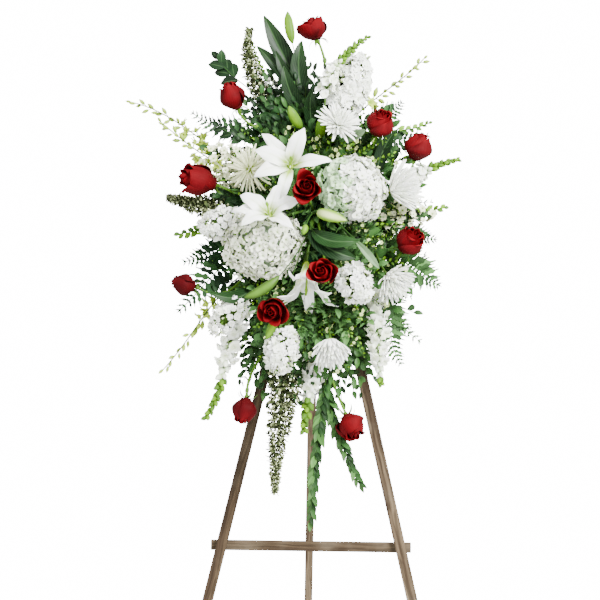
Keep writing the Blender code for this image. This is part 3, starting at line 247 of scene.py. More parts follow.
class Skin:
    """The points and faces of one piece while it is made.

    Each point also has a tint, which is its base colour, a grain (across its petal or leaf from -1 to 1, along
    it from 0 at the root to 1 at the tip, and how plainly its veins show) and a chance, one number for the
    whole petal or leaf.
    """

    def __init__(self) -> None:
        """Starts empty."""
        self.points: list[np.ndarray] = []
        self.faces: list[list[int]] = []
        self.tints: list[np.ndarray] = []
        self.grains: list[np.ndarray] = []
        self.chances: list[np.ndarray] = []
        self.count = 0

    def add(self, points: np.ndarray, faces: np.ndarray, tint: np.ndarray, grain: np.ndarray,
            chance: float, matrix: Matrix | None) -> None:
        """Adds a closed shell.

        Args:
            points: Its points, one a row.
            faces: The indices of each face's points, one face a row.
            tint: The colour of each point.
            grain: The grain of each point.
            chance: One random number for the shell.
            matrix: Where it goes, or None where its points are already there.
        """
        count = len(points)
        if matrix is not None:
            m = np.array(matrix)
            points = points @ m[:3, :3].T + m[:3, 3]
        self.points.append(points)
        self.faces += (np.asarray(faces) + self.count).tolist()
        self.tints.append(np.broadcast_to(tint, (count, 3)))
        self.grains.append(grain)
        self.chances.append(np.full(count, chance))
        self.count += count

    def sheet(self, grid: Grid, thick: float, tint: np.ndarray, vein: float = 1.0, chance: float = 0.5,
              matrix: Matrix | None = None, under: float = 1.0, outside: np.ndarray | None = None) -> "Skin":
        """Adds a thin closed sheet on a grid of points (along, across, 3).

        Args:
            grid: The points of its middle surface.
            thick: Its thickness.
            tint: The colour of each row and column, or of all of them.
            vein: How plainly its veins show.
            chance: One random number for the sheet.
            matrix: Where it goes.
            under: How bright its under side is beside its upper side.
            outside: The colour of the side that its normal points to, where that differs.

        Returns:
            This skin.
        """
        rows, columns = grid.shape[:2]
        normal = np.cross(np.gradient(grid, axis=1), np.gradient(grid, axis=0))
        normal /= np.maximum(np.linalg.norm(normal, axis=2, keepdims=True), 1e-12)
        points = np.concatenate([(grid + normal * thick / 2).reshape(-1, 3),
                                 (grid - normal * thick / 2).reshape(-1, 3)])
        size = rows * columns
        index = np.arange(size).reshape(rows, columns)
        quads = np.stack([index[:-1, :-1], index[:-1, 1:], index[1:, 1:], index[1:, :-1]], -1).reshape(-1, 4)
        loop = np.concatenate([index[0, :-1], index[:-1, -1], index[-1, :0:-1], index[:0:-1, 0]])
        after = np.roll(loop, -1)
        rim = np.stack([loop, loop + size, after + size, after], -1)
        along, across = shares(rows, columns)
        grain = np.stack([across, along, np.full_like(across, vein)], -1).reshape(-1, 3)
        shade = np.broadcast_to(tint, (rows, columns, 3)).reshape(-1, 3)
        self.add(points, np.concatenate([quads, quads[:, ::-1] + size, rim]),
                 np.concatenate([shade if outside is None else outside.reshape(-1, 3), shade * under]),
                 np.tile(grain, (2, 1)), chance, matrix)
        return self

    def tube(self, path: Sequence[Vector], radii: Sequence[float], sides: int, tint: np.ndarray,
             matrix: Matrix | None = None) -> "Skin":
        """Adds a round stem along a path, closed at both ends.

        Args:
            path: The points along its middle.
            radii: Its radius at each of them.
            sides: How many sides it has.
            tint: The colour of each ring, or of all of them.
            matrix: Where it goes.

        Returns:
            This skin.
        """
        turns = np.linspace(0, 2 * math.pi, sides, endpoint=False)
        side = (path[1] - path[0]).orthogonal().normalized()
        rings = []
        for i, point in enumerate(path):
            along = (path[min(i + 1, len(path) - 1)] - path[max(i - 1, 0)]).normalized()
            side = (side - along * side.dot(along)).normalized()
            ring = np.outer(np.cos(turns), side) + np.outer(np.sin(turns), along.cross(side))
            rings.append(np.array(point) + radii[i] * ring)
        count = len(path)
        index = np.arange(count * sides).reshape(count, sides)
        after = np.roll(index, -1, axis=1)
        quads = np.stack([index[:-1], after[:-1], after[1:], index[1:]], -1).reshape(-1, 4)
        tint = np.repeat(np.broadcast_to(tint, (count, 3)), sides, axis=0)
        along = np.repeat(np.linspace(0, 1, count), sides)
        grain = np.stack([np.zeros_like(along), along, np.zeros_like(along)], -1)
        before = self.count
        self.add(np.concatenate(rings), quads, tint, grain, 0.5, matrix)
        self.faces += [(index[0, ::-1] + before).tolist(), (index[-1] + before).tolist()]
        return self

    def turned(self, axis: str, stations: Sequence[float], radii: Sequence[float], sides: int, tint: np.ndarray,
               unit: float = MM, matrix: Matrix | None = None) -> "Skin":
        """Adds a turned shape, such as a bud, a throat or a thin stalk.

        Args:
            axis: "Y" where it grows along +Y, "Z" where it stands along +Z.
            stations: The places along it.
            radii: Its radius at each of them.
            sides: How many sides it has.
            tint: The colour of each ring, or of all of them.
            unit: The length that stations and radii are measured in.
            matrix: Where it goes.

        Returns:
            This skin.
        """
        line = Vector((0, 1, 0) if axis == "Y" else (0, 0, 1))
        return self.tube([line * (s * unit) for s in stations], [r * unit for r in radii], sides, tint, matrix)

    def mesh(self, name: str, alone: bool = True) -> bpy.types.Mesh:
        """The finished mesh, with its tint, grain and chance as attributes.

        Args:
            name: Its name.
            alone: False where it is a small piece that gets its chance from the point it is set on.

        Returns:
            The mesh.
        """
        mesh = bpy.data.meshes.new(name)
        mesh.from_pydata(np.concatenate(self.points).tolist(), [], self.faces)
        tint = np.concatenate(self.tints)
        tint = np.concatenate([tint, np.ones((len(tint), 1))], axis=1)
        mesh.attributes.new("tint", "FLOAT_COLOR", "POINT").data.foreach_set("color", tint.ravel())
        grain = np.concatenate(self.grains)
        mesh.attributes.new("grain", "FLOAT_VECTOR", "POINT").data.foreach_set("vector", grain.ravel())
        if alone:
            mesh.attributes.new("chance", "FLOAT", "POINT").data.foreach_set("value", np.concatenate(self.chances))
        smoothed(mesh)
        return mesh


def linked(name: str, data: bpy.types.ID) -> bpy.types.Object:
    """A new object with this mesh, camera or light, in the scene.

    Args:
        name: Its name.
        data: Its mesh, camera or light.

    Returns:
        The object.
    """
    made = bpy.data.objects.new(name, data)
    bpy.context.scene.collection.objects.link(made)
    return made


def smoothed(mesh: bpy.types.Mesh) -> None:
    """Shades a mesh smooth, apart from the rims of its sheets."""
    mesh.shade_smooth()
    mesh.set_sharp_from_angle(angle=RIM_ANGLE)


def shares(rows: int, columns: int) -> tuple[np.ndarray, np.ndarray]:
    """The along and across values of a grid: along from 0 to 1, across from -1 to 1."""
    across, along = np.meshgrid(np.linspace(-1, 1, columns), np.linspace(0, 1, rows))
    return along, across


def blended(low: Colour, high: Colour, share: np.ndarray) -> np.ndarray:
    """Colours from low to high, one for each share."""
    share = np.clip(np.asarray(share, float), 0, 1)[..., None]
    return np.array(low) * (1 - share) + np.array(high) * share


def petal(length: float, half: np.ndarray, lift: np.ndarray, angles: Sequence[float]) -> Grid:
    """A petal or leaf that grows along +Y with its upper face to +Z.

    Args:
        length: Its length.
        half: Half its width at each row.
        lift: How far each point of the grid stands over the middle line.
        angles: How steeply it rises, in degrees, at even steps from its root to its tip.

    Returns:
        The grid of its points.
    """
    rows, columns = lift.shape
    turns = np.radians(np.interp(np.linspace(0, 1, rows), np.linspace(0, 1, len(angles)), angles))
    between = (turns[1:] + turns[:-1]) / 2
    steps = np.stack([0 * between, np.cos(between), np.sin(between)], -1) * length / (rows - 1)
    line = np.concatenate([np.zeros((1, 3)), np.cumsum(steps, axis=0)])
    up = np.stack([0 * turns, -np.sin(turns), np.cos(turns)], -1)
    across = np.linspace(-1, 1, columns)
    side = np.array([1.0, 0.0, 0.0])
    return line[:, None] + side * (half[:, None] * across)[..., None] + up[:, None] * lift[..., None]


def pointed_outline(rows: int, widest: float, tip: float) -> np.ndarray:
    """The share of the full half width at each row of a leaf that is pointed at both ends.

    Args:
        rows: How many rows it has.
        widest: The share of its length at which it is widest.
        tip: The least share, at its tip.

    Returns:
        One share for each row.
    """
    v = np.linspace(0, 1, rows)
    rise = np.sin(np.clip(v / widest, 0, 1) * math.pi / 2) ** 0.8
    fall = np.cos(np.clip((v - widest) / (1 - widest), 0, 1) * math.pi / 2) ** 0.9
    return np.maximum(np.where(v < widest, 0.14 + 0.86 * rise, fall), tip)


# Repeats

class Wire:
    """An output in a node tree, on which Python's operators add the nodes."""

    def __init__(self, tree: "Tree", socket: bpy.types.NodeSocket) -> None:
        """Wraps one socket of this tree."""
        self.tree, self.socket = tree, socket

    def _math(self, operation: str, first: object, second: object = 0.0) -> "Wire":
        """One Math node on two values, or a Vector Math node where this is a vector."""
        kind = "ShaderNodeVectorMath" if self.socket.type == "VECTOR" else "ShaderNodeMath"
        return self.tree.out(kind, {"operation": operation}, {0: first, 1: second})

    def __add__(self, other: "Wire | float") -> "Wire":
        """This plus other."""
        return self._math("ADD", self, other)

    def __sub__(self, other: "Wire | float") -> "Wire":
        """This minus other."""
        return self._math("SUBTRACT", self, other)

    def __rsub__(self, other: "Wire | float") -> "Wire":
        """Other minus this."""
        return self._math("SUBTRACT", other, self)

    def __mul__(self, other: "Wire | float") -> "Wire":
        """This times other."""
        return self._math("MULTIPLY", self, other)

    __radd__, __rmul__ = __add__, __mul__

    def __pow__(self, other: "Wire | float") -> "Wire":
        """This to the power of other."""
        return self._math("POWER", self, other)

    def __abs__(self) -> "Wire":
        """The size of this without its sign."""
        return self._math("ABSOLUTE", self)

    def sine(self) -> "Wire":
        """The sine of this."""
        return self._math("SINE", self)

    def between(self, low: float, high: float) -> "Wire":
        """0 where this is at low and 1 where it is at high, with soft ends."""
        return self.tree.out("ShaderNodeMapRange", {"interpolation_type": "SMOOTHSTEP"},
                             {"Value": self, "From Min": low, "From Max": high})


class Tree:
    """A node tree under construction."""

    def __init__(self, tree: bpy.types.NodeTree) -> None:
        """Wraps a tree."""
        self.tree = tree

    def node(self, kind: str, settings: dict[str, object], values: dict[int | str, object]) -> bpy.types.Node:
        """A node: its settings first, then the values or links of its sockets.

        Args:
            kind: The node's type.
            settings: Its properties.
            values: What each of its inputs gets, by index or name: a value or a Wire.

        Returns:
            The node.
        """
        made = self.tree.nodes.new(kind)
        for name, value in settings.items():
            setattr(made, name, value)
        for key, value in values.items():
            self.set(made.inputs[key], value)
        return made

    def set(self, socket: bpy.types.NodeSocket, value: object) -> None:
        """Gives an input its value or its link.

        Args:
            socket: The input.
            value: A number, a colour of three or four parts, or a Wire.
        """
        if isinstance(value, Wire):
            self.tree.links.new(value.socket, socket)
        elif socket.type == "RGBA" and len(value) == 3:
            socket.default_value = (*value, 1)
        else:
            socket.default_value = value

    def out(self, kind: str, settings: dict[str, object], values: dict[int | str, object],
            output: int | str = 0) -> Wire:
        """One output of a new node."""
        return Wire(self, self.node(kind, settings, values).outputs[output])


class Repeats(Tree):
    """A Geometry Nodes tree that sets small pieces on the points of a cloud."""

    def __init__(self) -> None:
        """Builds the tree once for all that repeats."""
        super().__init__(bpy.data.node_groups.new("Small pieces on points", "GeometryNodeTree"))
        self.ids: dict[str, str] = {}
        for name, kind in (("Points", "Geometry"), ("Pieces", "Collection"), ("Core", "Object"),
                           ("Size spread", "Float"), ("Turn spread", "Vector"), ("Seed", "Int"),
                           ("Finish", "Material")):
            socket = self.tree.interface.new_socket(name, in_out="INPUT", socket_type=f"NodeSocket{kind}")
            self.ids[name] = socket.identifier
        self.tree.interface.new_socket("Result", in_out="OUTPUT", socket_type="NodeSocketGeometry")
        group = self.node("NodeGroupInput", {}, {})
        given = {name: Wire(self, group.outputs[name]) for name in self.ids}
        spread, turn_spread, seed = given["Size spread"], given["Turn spread"], given["Seed"]
        chance = self.out("FunctionNodeRandomValue", {"data_type": "FLOAT"}, {2: 0.0, 3: 1.0, 8: seed}, 1)
        scale = self._stored("size", "FLOAT") * (1.0 + spread * (chance * 2.0 - 1.0))
        turns = self.out("FunctionNodeRandomValue", {"data_type": "FLOAT_VECTOR"},
                         {0: turn_spread * (-1.0, -1.0, -1.0), 1: turn_spread, 8: seed})
        extra = self.out("FunctionNodeEulerToRotation", {}, {0: turns})
        rotation = self.out("FunctionNodeRotateRotation", {"rotation_space": "LOCAL"},
                            {"Rotation": self._stored("turn", "QUATERNION"), "Rotate By": extra})
        pieces = self.out("GeometryNodeCollectionInfo", {}, {
            "Collection": given["Pieces"], "Separate Children": True, "Reset Children": True})
        set_on = self.out("GeometryNodeInstanceOnPoints", {}, {
            "Points": given["Points"], "Instance": pieces, "Pick Instance": True,
            "Instance Index": self._stored("kind", "INT"), "Rotation": rotation, "Scale": scale})
        marked = self.out("GeometryNodeStoreNamedAttribute", {"data_type": "FLOAT", "domain": "INSTANCE"},
                          {"Geometry": set_on, "Name": "chance", "Value": chance})
        core = self.out("GeometryNodeObjectInfo", {}, {"Object": given["Core"]}, "Geometry")
        joined = self.node("GeometryNodeJoinGeometry", {}, {})
        for part in (self.out("GeometryNodeRealizeInstances", {}, {0: marked}), core):
            self.set(joined.inputs[0], part)
        finished = self.out("GeometryNodeSetMaterial", {},
                            {"Geometry": Wire(self, joined.outputs[0]), "Material": given["Finish"]})
        self.node("NodeGroupOutput", {}, {0: finished})

    def _stored(self, name: str, kind: str) -> Wire:
        """An attribute of the points."""
        return self.out("GeometryNodeInputNamedAttribute", {"data_type": kind}, {"Name": name})

    def made(self, name: str, cloud: "Cloud", pieces: Sequence[Skin], core: Skin,
             finish: bpy.types.Material) -> bpy.types.Mesh:
        """Runs the tree on a cloud.

        Args:
            name: The name of the mesh.
            cloud: The points, with the turn, size and kind of the piece on each.
            pieces: The small pieces that it picks from, by kind.
            core: What they stand on.
            finish: The material of the result.

        Returns:
            One plain mesh.
        """
        holder = bpy.data.collections.new(f"{name}_pieces")
        things = [bpy.data.objects.new(f"{name}_kind_{i}", skin.mesh(f"{name}_kind_{i}", False))
                  for i, skin in enumerate(pieces)]
        for thing in things:
            holder.objects.link(thing)
        middle = linked(f"{name}_core", core.mesh(f"{name}_core"))
        carrier = linked(name, cloud.mesh(name))
        things += [middle, carrier]
        step = carrier.modifiers.new("Repeats", "NODES")
        step.node_group = self.tree
        for label, value in (("Pieces", holder), ("Core", middle), ("Size spread", cloud.size_spread),
                             ("Turn spread", cloud.turn_spread), ("Seed", cloud.seed), ("Finish", finish)):
            step[self.ids[label]] = value
        graph = bpy.context.evaluated_depsgraph_get()
        mesh = bpy.data.meshes.new_from_object(carrier.evaluated_get(graph))
        for thing in things:
            bpy.data.objects.remove(thing)
        bpy.data.collections.remove(holder)
        mesh.name = name
        smoothed(mesh)
        return mesh


@dataclass
class Cloud:
    """Points on which small pieces go: each row has a place, and the turn, size and kind of its piece."""

    size_spread: float
    turn_spread: Triple
    seed: int
    rows: list[tuple[Vector, Quaternion, float, int]] = field(default_factory=list)

    def add(self, point: Vector, turn: Matrix, size: float, kind: int) -> None:
        """Adds a point."""
        self.rows.append((point, turn.to_quaternion(), size, kind))

    def mesh(self, name: str) -> bpy.types.Mesh:
        """The points as a mesh without faces, with their attributes.

        Args:
            name: The name of the piece.

        Returns:
            The mesh.
        """
        points, turns, sizes, kinds = zip(*self.rows)
        mesh = bpy.data.meshes.new(f"{name}_points")
        mesh.from_pydata(points, [], [])
        for label, form, values in (("turn", "QUATERNION", [part for turn in turns for part in turn]),
                                    ("size", "FLOAT", sizes), ("kind", "INT", kinds)):
            mesh.attributes.new(label, form, "POINT").data.foreach_set("value", values)
        return mesh

    def cleared(self) -> "Cloud":
        """The same points without those inside or in front of a flower head."""
        kept = [row for row in self.rows if not any(head.hides(row[0]) for head in HEADS)]
        return Cloud(self.size_spread, self.turn_spread, self.seed, kept)


# Finishes

class Shader(Tree):
    """A material under construction."""

    def __init__(self, name: str) -> None:
        """Starts a material of this name with one Principled shader.

        Args:
            name: The name of the material.
        """
        self.material = bpy.data.materials.new(name)
        self.material.use_nodes = True
        super().__init__(self.material.node_tree)
        self.principled = self.tree.nodes["Principled BSDF"]

    def mixed(self, share: Wire | float, low: object, high: object, blend: str = "MIX") -> Wire:
        """A colour between low and high."""
        return self.out("ShaderNodeMix", {"data_type": "RGBA", "blend_type": blend},
                        {0: share, 6: low, 7: high}, 2)

    def dimmed(self, colour: Wire, share: Wire) -> Wire:
        """A colour times a number."""
        grey = self.out("ShaderNodeCombineColor", {}, {0: share, 1: share, 2: share})
        return self.mixed(1.0, colour, grey, "MULTIPLY")

    def attribute(self, name: str, output: str) -> Wire:
        """An attribute of the piece's own mesh."""
        return self.out("ShaderNodeAttribute", {"attribute_type": "GEOMETRY", "attribute_name": name}, {}, output)

    def grain(self) -> tuple[Wire, Wire, Wire]:
        """Across the petal or leaf, along it, and how plainly its veins show."""
        parts = self.node("ShaderNodeSeparateXYZ", {}, {0: self.attribute("grain", "Vector")})
        return Wire(self, parts.outputs[0]), Wire(self, parts.outputs[1]), Wire(self, parts.outputs[2])

    def noise(self, vector: Wire, scale: float, detail: float = 3.0) -> Wire:
        """A noise between 0 and 1."""
        return self.out("ShaderNodeTexNoise", {}, {"Vector": vector, "Scale": scale, "Detail": detail})

    def place(self) -> Wire:
        """The place on the piece, in metres."""
        return self.out("ShaderNodeTexCoord", {}, {}, "Object")

    def bumped(self, height: Wire, strength: float, distance: float) -> None:
        """Feeds a height to the shader's normal."""
        normal = self.out("ShaderNodeBump", {}, {"Height": height, "Strength": strength, "Distance": distance})
        self.set(self.principled.inputs["Normal"], normal)

    def finished(self, **values: object) -> bpy.types.Material:
        """Sets sockets of the Principled shader, named with underscores, and gives the material.

        Args:
            values: The value or Wire of each socket.

        Returns:
            The material.
        """
        for name, value in values.items():
            self.set(self.principled.inputs[name.replace("_", " ")], value)
        return self.material


@dataclass(frozen=True)
class PetalFinish:
    """A petal: its own tint, faint lengthwise veins, and patches of painted shade laid by noise."""

    name: str
    vein_shade: Colour
    vein_share: float
    # The painted-shade colour, and how strongly it shows in patches laid by noise and by each petal's chance
    painted_shade: Colour
    painted_shade_share: float
    roughness: float
    glow: float
    sheen: float = 0.10

    def material(self) -> bpy.types.Material:
        """Builds the material.

        Returns:
            The material, for any number of pieces.
        """
        shader = Shader(self.name)
        across, along, plain = shader.grain()
        chance = shader.attribute("chance", "Fac")
        ripple = (across * (1.35 - 0.6 * along) * 34.0 + chance * 9.0).sine() * 0.5 + 0.5
        soft = shader.noise(shader.place(), 160.0, 4.0)
        vein = ripple ** 3.0 * (1.0 - along * 0.55) * plain
        colour = shader.mixed(vein * self.vein_share, shader.attribute("tint", "Color"), self.vein_shade,
                              "MULTIPLY")
        # Painted shade: noise patches and each petal's chance darken the tint towards the painted-shade colour
        patch = shader.noise(shader.place(), 42.0, 2.0)
        colour = shader.mixed((patch.between(0.40, 0.70) * 0.6 + chance * 0.4) * self.painted_shade_share, colour, self.painted_shade,
                              "MULTIPLY")
        shader.bumped(ripple * 0.6 + soft * 0.7, 0.35, 0.4 * MM)
        return shader.finished(Base_Color=colour, Roughness=soft * 0.16 + (self.roughness - 0.08),
                               Subsurface_Weight=self.glow, Subsurface_Radius=(0.004, 0.003, 0.002),
                               Subsurface_Scale=1.0, Specular_IOR_Level=self.sheen)


@dataclass(frozen=True)
class LeafFinish:
    """A leaf or green stem: its own tint, a paler midrib with side veins, and a thin waxy gloss."""

    name: str
    rib_shade: Colour
    rib_share: float
    young: Colour
    gloss: float
    roughness: float

    def material(self) -> bpy.types.Material:
        """Builds the material.

        Returns:
            The material, for any number of pieces.
        """
        shader = Shader(self.name)
        across, along, plain = shader.grain()
        chance = shader.attribute("chance", "Fac")
        side = abs(across)
        rib = (1.0 - side.between(0.02, 0.16)) * plain
        veins = ((along * 62.0 - side * 22.0).sine() * 0.5 + 0.5) ** 4.0 * plain * side.between(0.05, 0.3)
        patch = shader.noise(shader.place(), 55.0, 3.0)
        fine = shader.noise(shader.place(), 420.0, 2.0)
        colour = shader.dimmed(shader.attribute("tint", "Color"), patch * 0.7 + chance ** 2.0 * 1.9 + 0.12)
        colour = shader.mixed(chance ** 6.0 * 0.45 * plain, colour, self.young)
        colour = shader.mixed(rib * self.rib_share + veins * self.rib_share * 0.35, colour, self.rib_shade)
        shader.bumped(rib * -0.7 + veins * 0.5 + fine * 0.35, 0.5, 0.5 * MM)
        return shader.finished(Base_Color=colour, Roughness=fine * 0.2 + patch * 0.12 + (self.roughness - 0.16),
                               Coat_Weight=self.gloss, Coat_Roughness=0.3, Specular_IOR_Level=0.06)


@dataclass(frozen=True)
class WoodFinish:
    """Weathered sawn wood with its grain along one direction."""

    name: str
    turn: Matrix
    light: Colour
    dark: Colour
    worn: Colour = (0.20, 0.165, 0.115)
    knot: Colour = (0.022, 0.012, 0.007)

    def material(self) -> bpy.types.Material:
        """Builds the material.

        Returns:
            The material, for any number of pieces.
        """
        shader = Shader(self.name)
        angles = self.turn.to_3x3().inverted().to_euler()
        turned = shader.out("ShaderNodeMapping", {}, {"Vector": shader.place(), "Rotation": tuple(angles)})
        warp = shader.out("ShaderNodeTexNoise", {}, {"Vector": turned, "Scale": 7.0, "Detail": 2.0}, 1)
        bent = shader.out("ShaderNodeVectorMath", {"operation": "MULTIPLY_ADD"},
                          {0: warp, 1: (0.02, 0.02, 0.0), 2: turned})
        long = bent * (1.0, 1.0, 0.035)
        grain = shader.noise(long, 260.0, 6.0)
        band = shader.noise(long, 70.0, 4.0)
        wear = shader.noise(turned, 9.0, 5.0)
        spots = shader.out("ShaderNodeTexVoronoi", {}, {"Vector": turned * (1.0, 1.0, 0.4), "Scale": 13.0})
        knot = 1.0 - spots.between(0.04, 0.22)
        colour = shader.mixed(band.between(0.36, 0.62), self.light, self.dark)
        colour = shader.mixed(grain.between(0.42, 0.60) * 0.6, colour, tuple(c * 0.35 for c in self.dark))
        colour = shader.mixed(wear.between(0.5, 0.75) * 0.25, colour, self.worn)
        colour = shader.mixed(knot * 0.85, colour, self.knot)
        shader.bumped(grain * 0.8 + band * 0.3 + knot * -0.4, 0.6, 0.7 * MM)
        return shader.finished(Base_Color=colour, Roughness=grain * 0.15 + 0.75, Specular_IOR_Level=0.08)


@dataclass(frozen=True)
class MouldedFinish:
    """Moulded plastic, foam, coated wire or plated steel, with a grain of its own."""

    name: str
    colour: Colour
    worn: Colour
    scale: float
    depth: float
    roughness: float
    metallic: float = 0.0

    def material(self) -> bpy.types.Material:
        """Builds the material.

        Returns:
            The material, for any number of pieces.
        """
        shader = Shader(self.name)
        fine = shader.noise(shader.place(), self.scale, 5.0)
        patch = shader.noise(shader.place(), 30.0, 3.0)
        colour = shader.mixed(patch.between(0.35, 0.75) * 0.6 + fine * 0.3, self.colour, self.worn)
        shader.bumped(fine, 0.6, self.depth)
        return shader.finished(Base_Color=colour, Roughness=fine * 0.2 + (self.roughness - 0.1),
                               Metallic=self.metallic)


YOUNG_LEAF: Colour = (0.055, 0.14, 0.025)

# The finish of each material slot of the flowers and greens
FINISHES: dict[str, PetalFinish | LeafFinish] = {
    "rose_red": PetalFinish("rose petal", vein_shade=(0.4, 0.2, 0.25), vein_share=0.3, painted_shade=(0.35, 0.2, 0.2),
                            painted_shade_share=0.6, roughness=0.7, glow=0.0, sheen=0.05),
    "petal_white": PetalFinish("white petal", vein_shade=(0.86, 0.90, 0.80), vein_share=0.5,
                               painted_shade=(0.78, 0.85, 0.66), painted_shade_share=0.7, roughness=0.6, glow=0.1),
    "spike_white": PetalFinish("spike petal", vein_shade=(0.78, 0.88, 0.62), vein_share=0.5,
                               painted_shade=(0.75, 0.86, 0.50), painted_shade_share=0.7, roughness=0.6, glow=0.1),
    "orchid_lime": PetalFinish("orchid petal", vein_shade=(0.7, 0.8, 0.4), vein_share=0.5, painted_shade=(0.7, 0.8, 0.4),
                               painted_shade_share=0.5, roughness=0.5, glow=0.05),
    "leaf_green": LeafFinish("leaf", rib_shade=(0.055, 0.11, 0.04), rib_share=0.40, young=YOUNG_LEAF, gloss=0.05,
                             roughness=0.42),
    "fern_green": LeafFinish("fern", rib_shade=(0.03, 0.07, 0.03), rib_share=0.40, young=YOUNG_LEAF, gloss=0.02,
                             roughness=0.55),
    "plume_green": LeafFinish("plume", rib_shade=(0.16, 0.18, 0.08), rib_share=0.30, young=(0.10, 0.12, 0.04),
                              gloss=0.0, roughness=0.65),
}


class Shade(Enum):
    """The greens and petal colours that the pieces are tinted with."""

    # The rose's own reds; where a petal lies between them also carries its painted shade and painted highlight
    ROSE_DEEP = (0.045, 0.0010, 0.0020)
    ROSE_BRIGHT = (0.165, 0.0016, 0.0050)
    WHITE = (0.96, 0.96, 0.95)
    CREAM = (0.84, 0.85, 0.60)
    LEMON = (0.42, 0.54, 0.07)
    THROAT = (0.30, 0.44, 0.035)
    LIME = (0.13, 0.27, 0.007)
    BUD = (0.070, 0.16, 0.014)
    STEM = (0.032, 0.070, 0.008)
    FRESH = (0.040, 0.095, 0.028)
    LILY_LEAF = (0.008, 0.026, 0.008)
    RUSCUS = (0.015, 0.049, 0.009)
    PALE = (0.046, 0.105, 0.027)
    IVORY = (0.90, 0.90, 0.79)
    MINT = (0.52, 0.70, 0.46)
    BUTTER = (0.58, 0.68, 0.28)
    FERN = (0.016, 0.046, 0.015)
    DARK = (0.004, 0.014, 0.005)
    OLIVE = (0.027, 0.034, 0.010)
    FLECK = (0.19, 0.22, 0.11)

    @property
    def tint(self) -> np.ndarray:
        """The colour as an array."""
        return np.array(self.value)

    def to(self, other: "Shade", share: np.ndarray | int) -> np.ndarray:
        """Colours from this one to another, at each share or in so many even steps."""
        return blended(self.value, other.value, np.linspace(0, 1, share) if isinstance(share, int) else share)


# Pieces

Parts = tuple[Skin, Cloud | None, Sequence[Skin]]


@dataclass
class Piece:
    """One finished piece of the spray, with the material slot that its kind takes."""

    name: str

    SLOT: ClassVar[str] = "petal_white"

    def slot(self) -> str:
        """The material slot that it takes its finish from."""
        return self.SLOT

    def seat(self) -> Matrix:
        """Carries the piece's own frame to the world."""
        return EASEL

    def replaced(self) -> list[str]:
        """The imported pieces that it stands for."""
        return [self.name]

    def parts(self) -> Parts:
        """What the piece is made of.

        Returns:
            Its core, the cloud of its small pieces or None, and the small pieces by kind.
        """
        raise NotImplementedError

    def hand_over(self, repeats: Repeats, materials: dict[str, bpy.types.Material]) -> None:
        """Makes the piece and fixes it to the easel.

        Args:
            repeats: Sets the small pieces on their cloud.
            materials: The material of each slot.
        """
        core, cloud, small = self.parts()
        slot, replaced = self.slot(), self.replaced()
        material = materials[slot]
        if cloud is None:
            mesh = core.mesh(self.name)
            mesh.materials.append(material)
        else:
            mesh = repeats.made(self.name, cloud, small, core, material)
        mesh.transform(self.seat())
        piece = linked(f"{self.name}_look", mesh)
        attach(piece, ROOT_BODY)
        if replaced:
            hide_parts(*replaced)
        log.info("%s: %d faces", piece.name, len(mesh.polygons))


# Flower heads, each made facing +Z with its seat at the origin

@dataclass
class Head(Piece):
    """A flower head on its stem: where its middle is, the way it faces and the bunch that it grows from.

    Its kind says its height as a share of its radius, the share of its radius that must stay clear of small
    leaves, and the radius of its stem with its colours at the foam and at the head.
    """

    place: Triple
    facing: Triple
    bunch: str
    bend: Triple = STRAIGHT
    radius: float = 3.0
    tall: float = 0.0
    seed: int = 0

    RISE: ClassVar[float] = 0.5
    GIRTH: ClassVar[float] = 1.0
    STEM: ClassVar[float] = 3.04 * MM
    STEM_SHADES: ClassVar[tuple[Shade, Shade]] = (Shade.RUSCUS, Shade.STEM)

    def height(self) -> float:
        """The height of the head over its seat: its own, or a share of its radius."""
        return (self.tall or self.RISE * self.radius) * CM

    def foot(self) -> Vector:
        """Where its stem meets it, in the easel frame."""
        return at(*self.place) - way(*self.facing) * self.height() / 2

    def hides(self, point: Vector) -> bool:
        """Whether a point of the easel frame is inside the head, or in front of it."""
        gap, girth = point - at(*self.place), self.GIRTH * self.radius * CM
        return gap.x ** 2 + gap.z ** 2 < girth ** 2 and gap.y < 0.4 * girth

    def seat(self) -> Matrix:
        """Where the head's seat is in the world."""
        return EASEL @ Matrix.Translation(self.foot()) @ turned_to(way(*self.facing))

    def add_stem(self, skin: Skin) -> None:
        """Adds its cut stem.

        Args:
            skin: The bunch that the stem belongs to.
        """
        steps = 18
        low, high = self.STEM_SHADES
        stem = Stem.grown(self.bunch, self.foot(), way(*self.facing), self.bend)
        radii = [self.STEM + 0.25 * MM * math.sin(1.7 * i) * (0 < i < steps) for i in range(steps + 1)]
        skin.tube(stem.path(0.0, 1.0, steps), radii, 8, low.to(high, steps + 1))


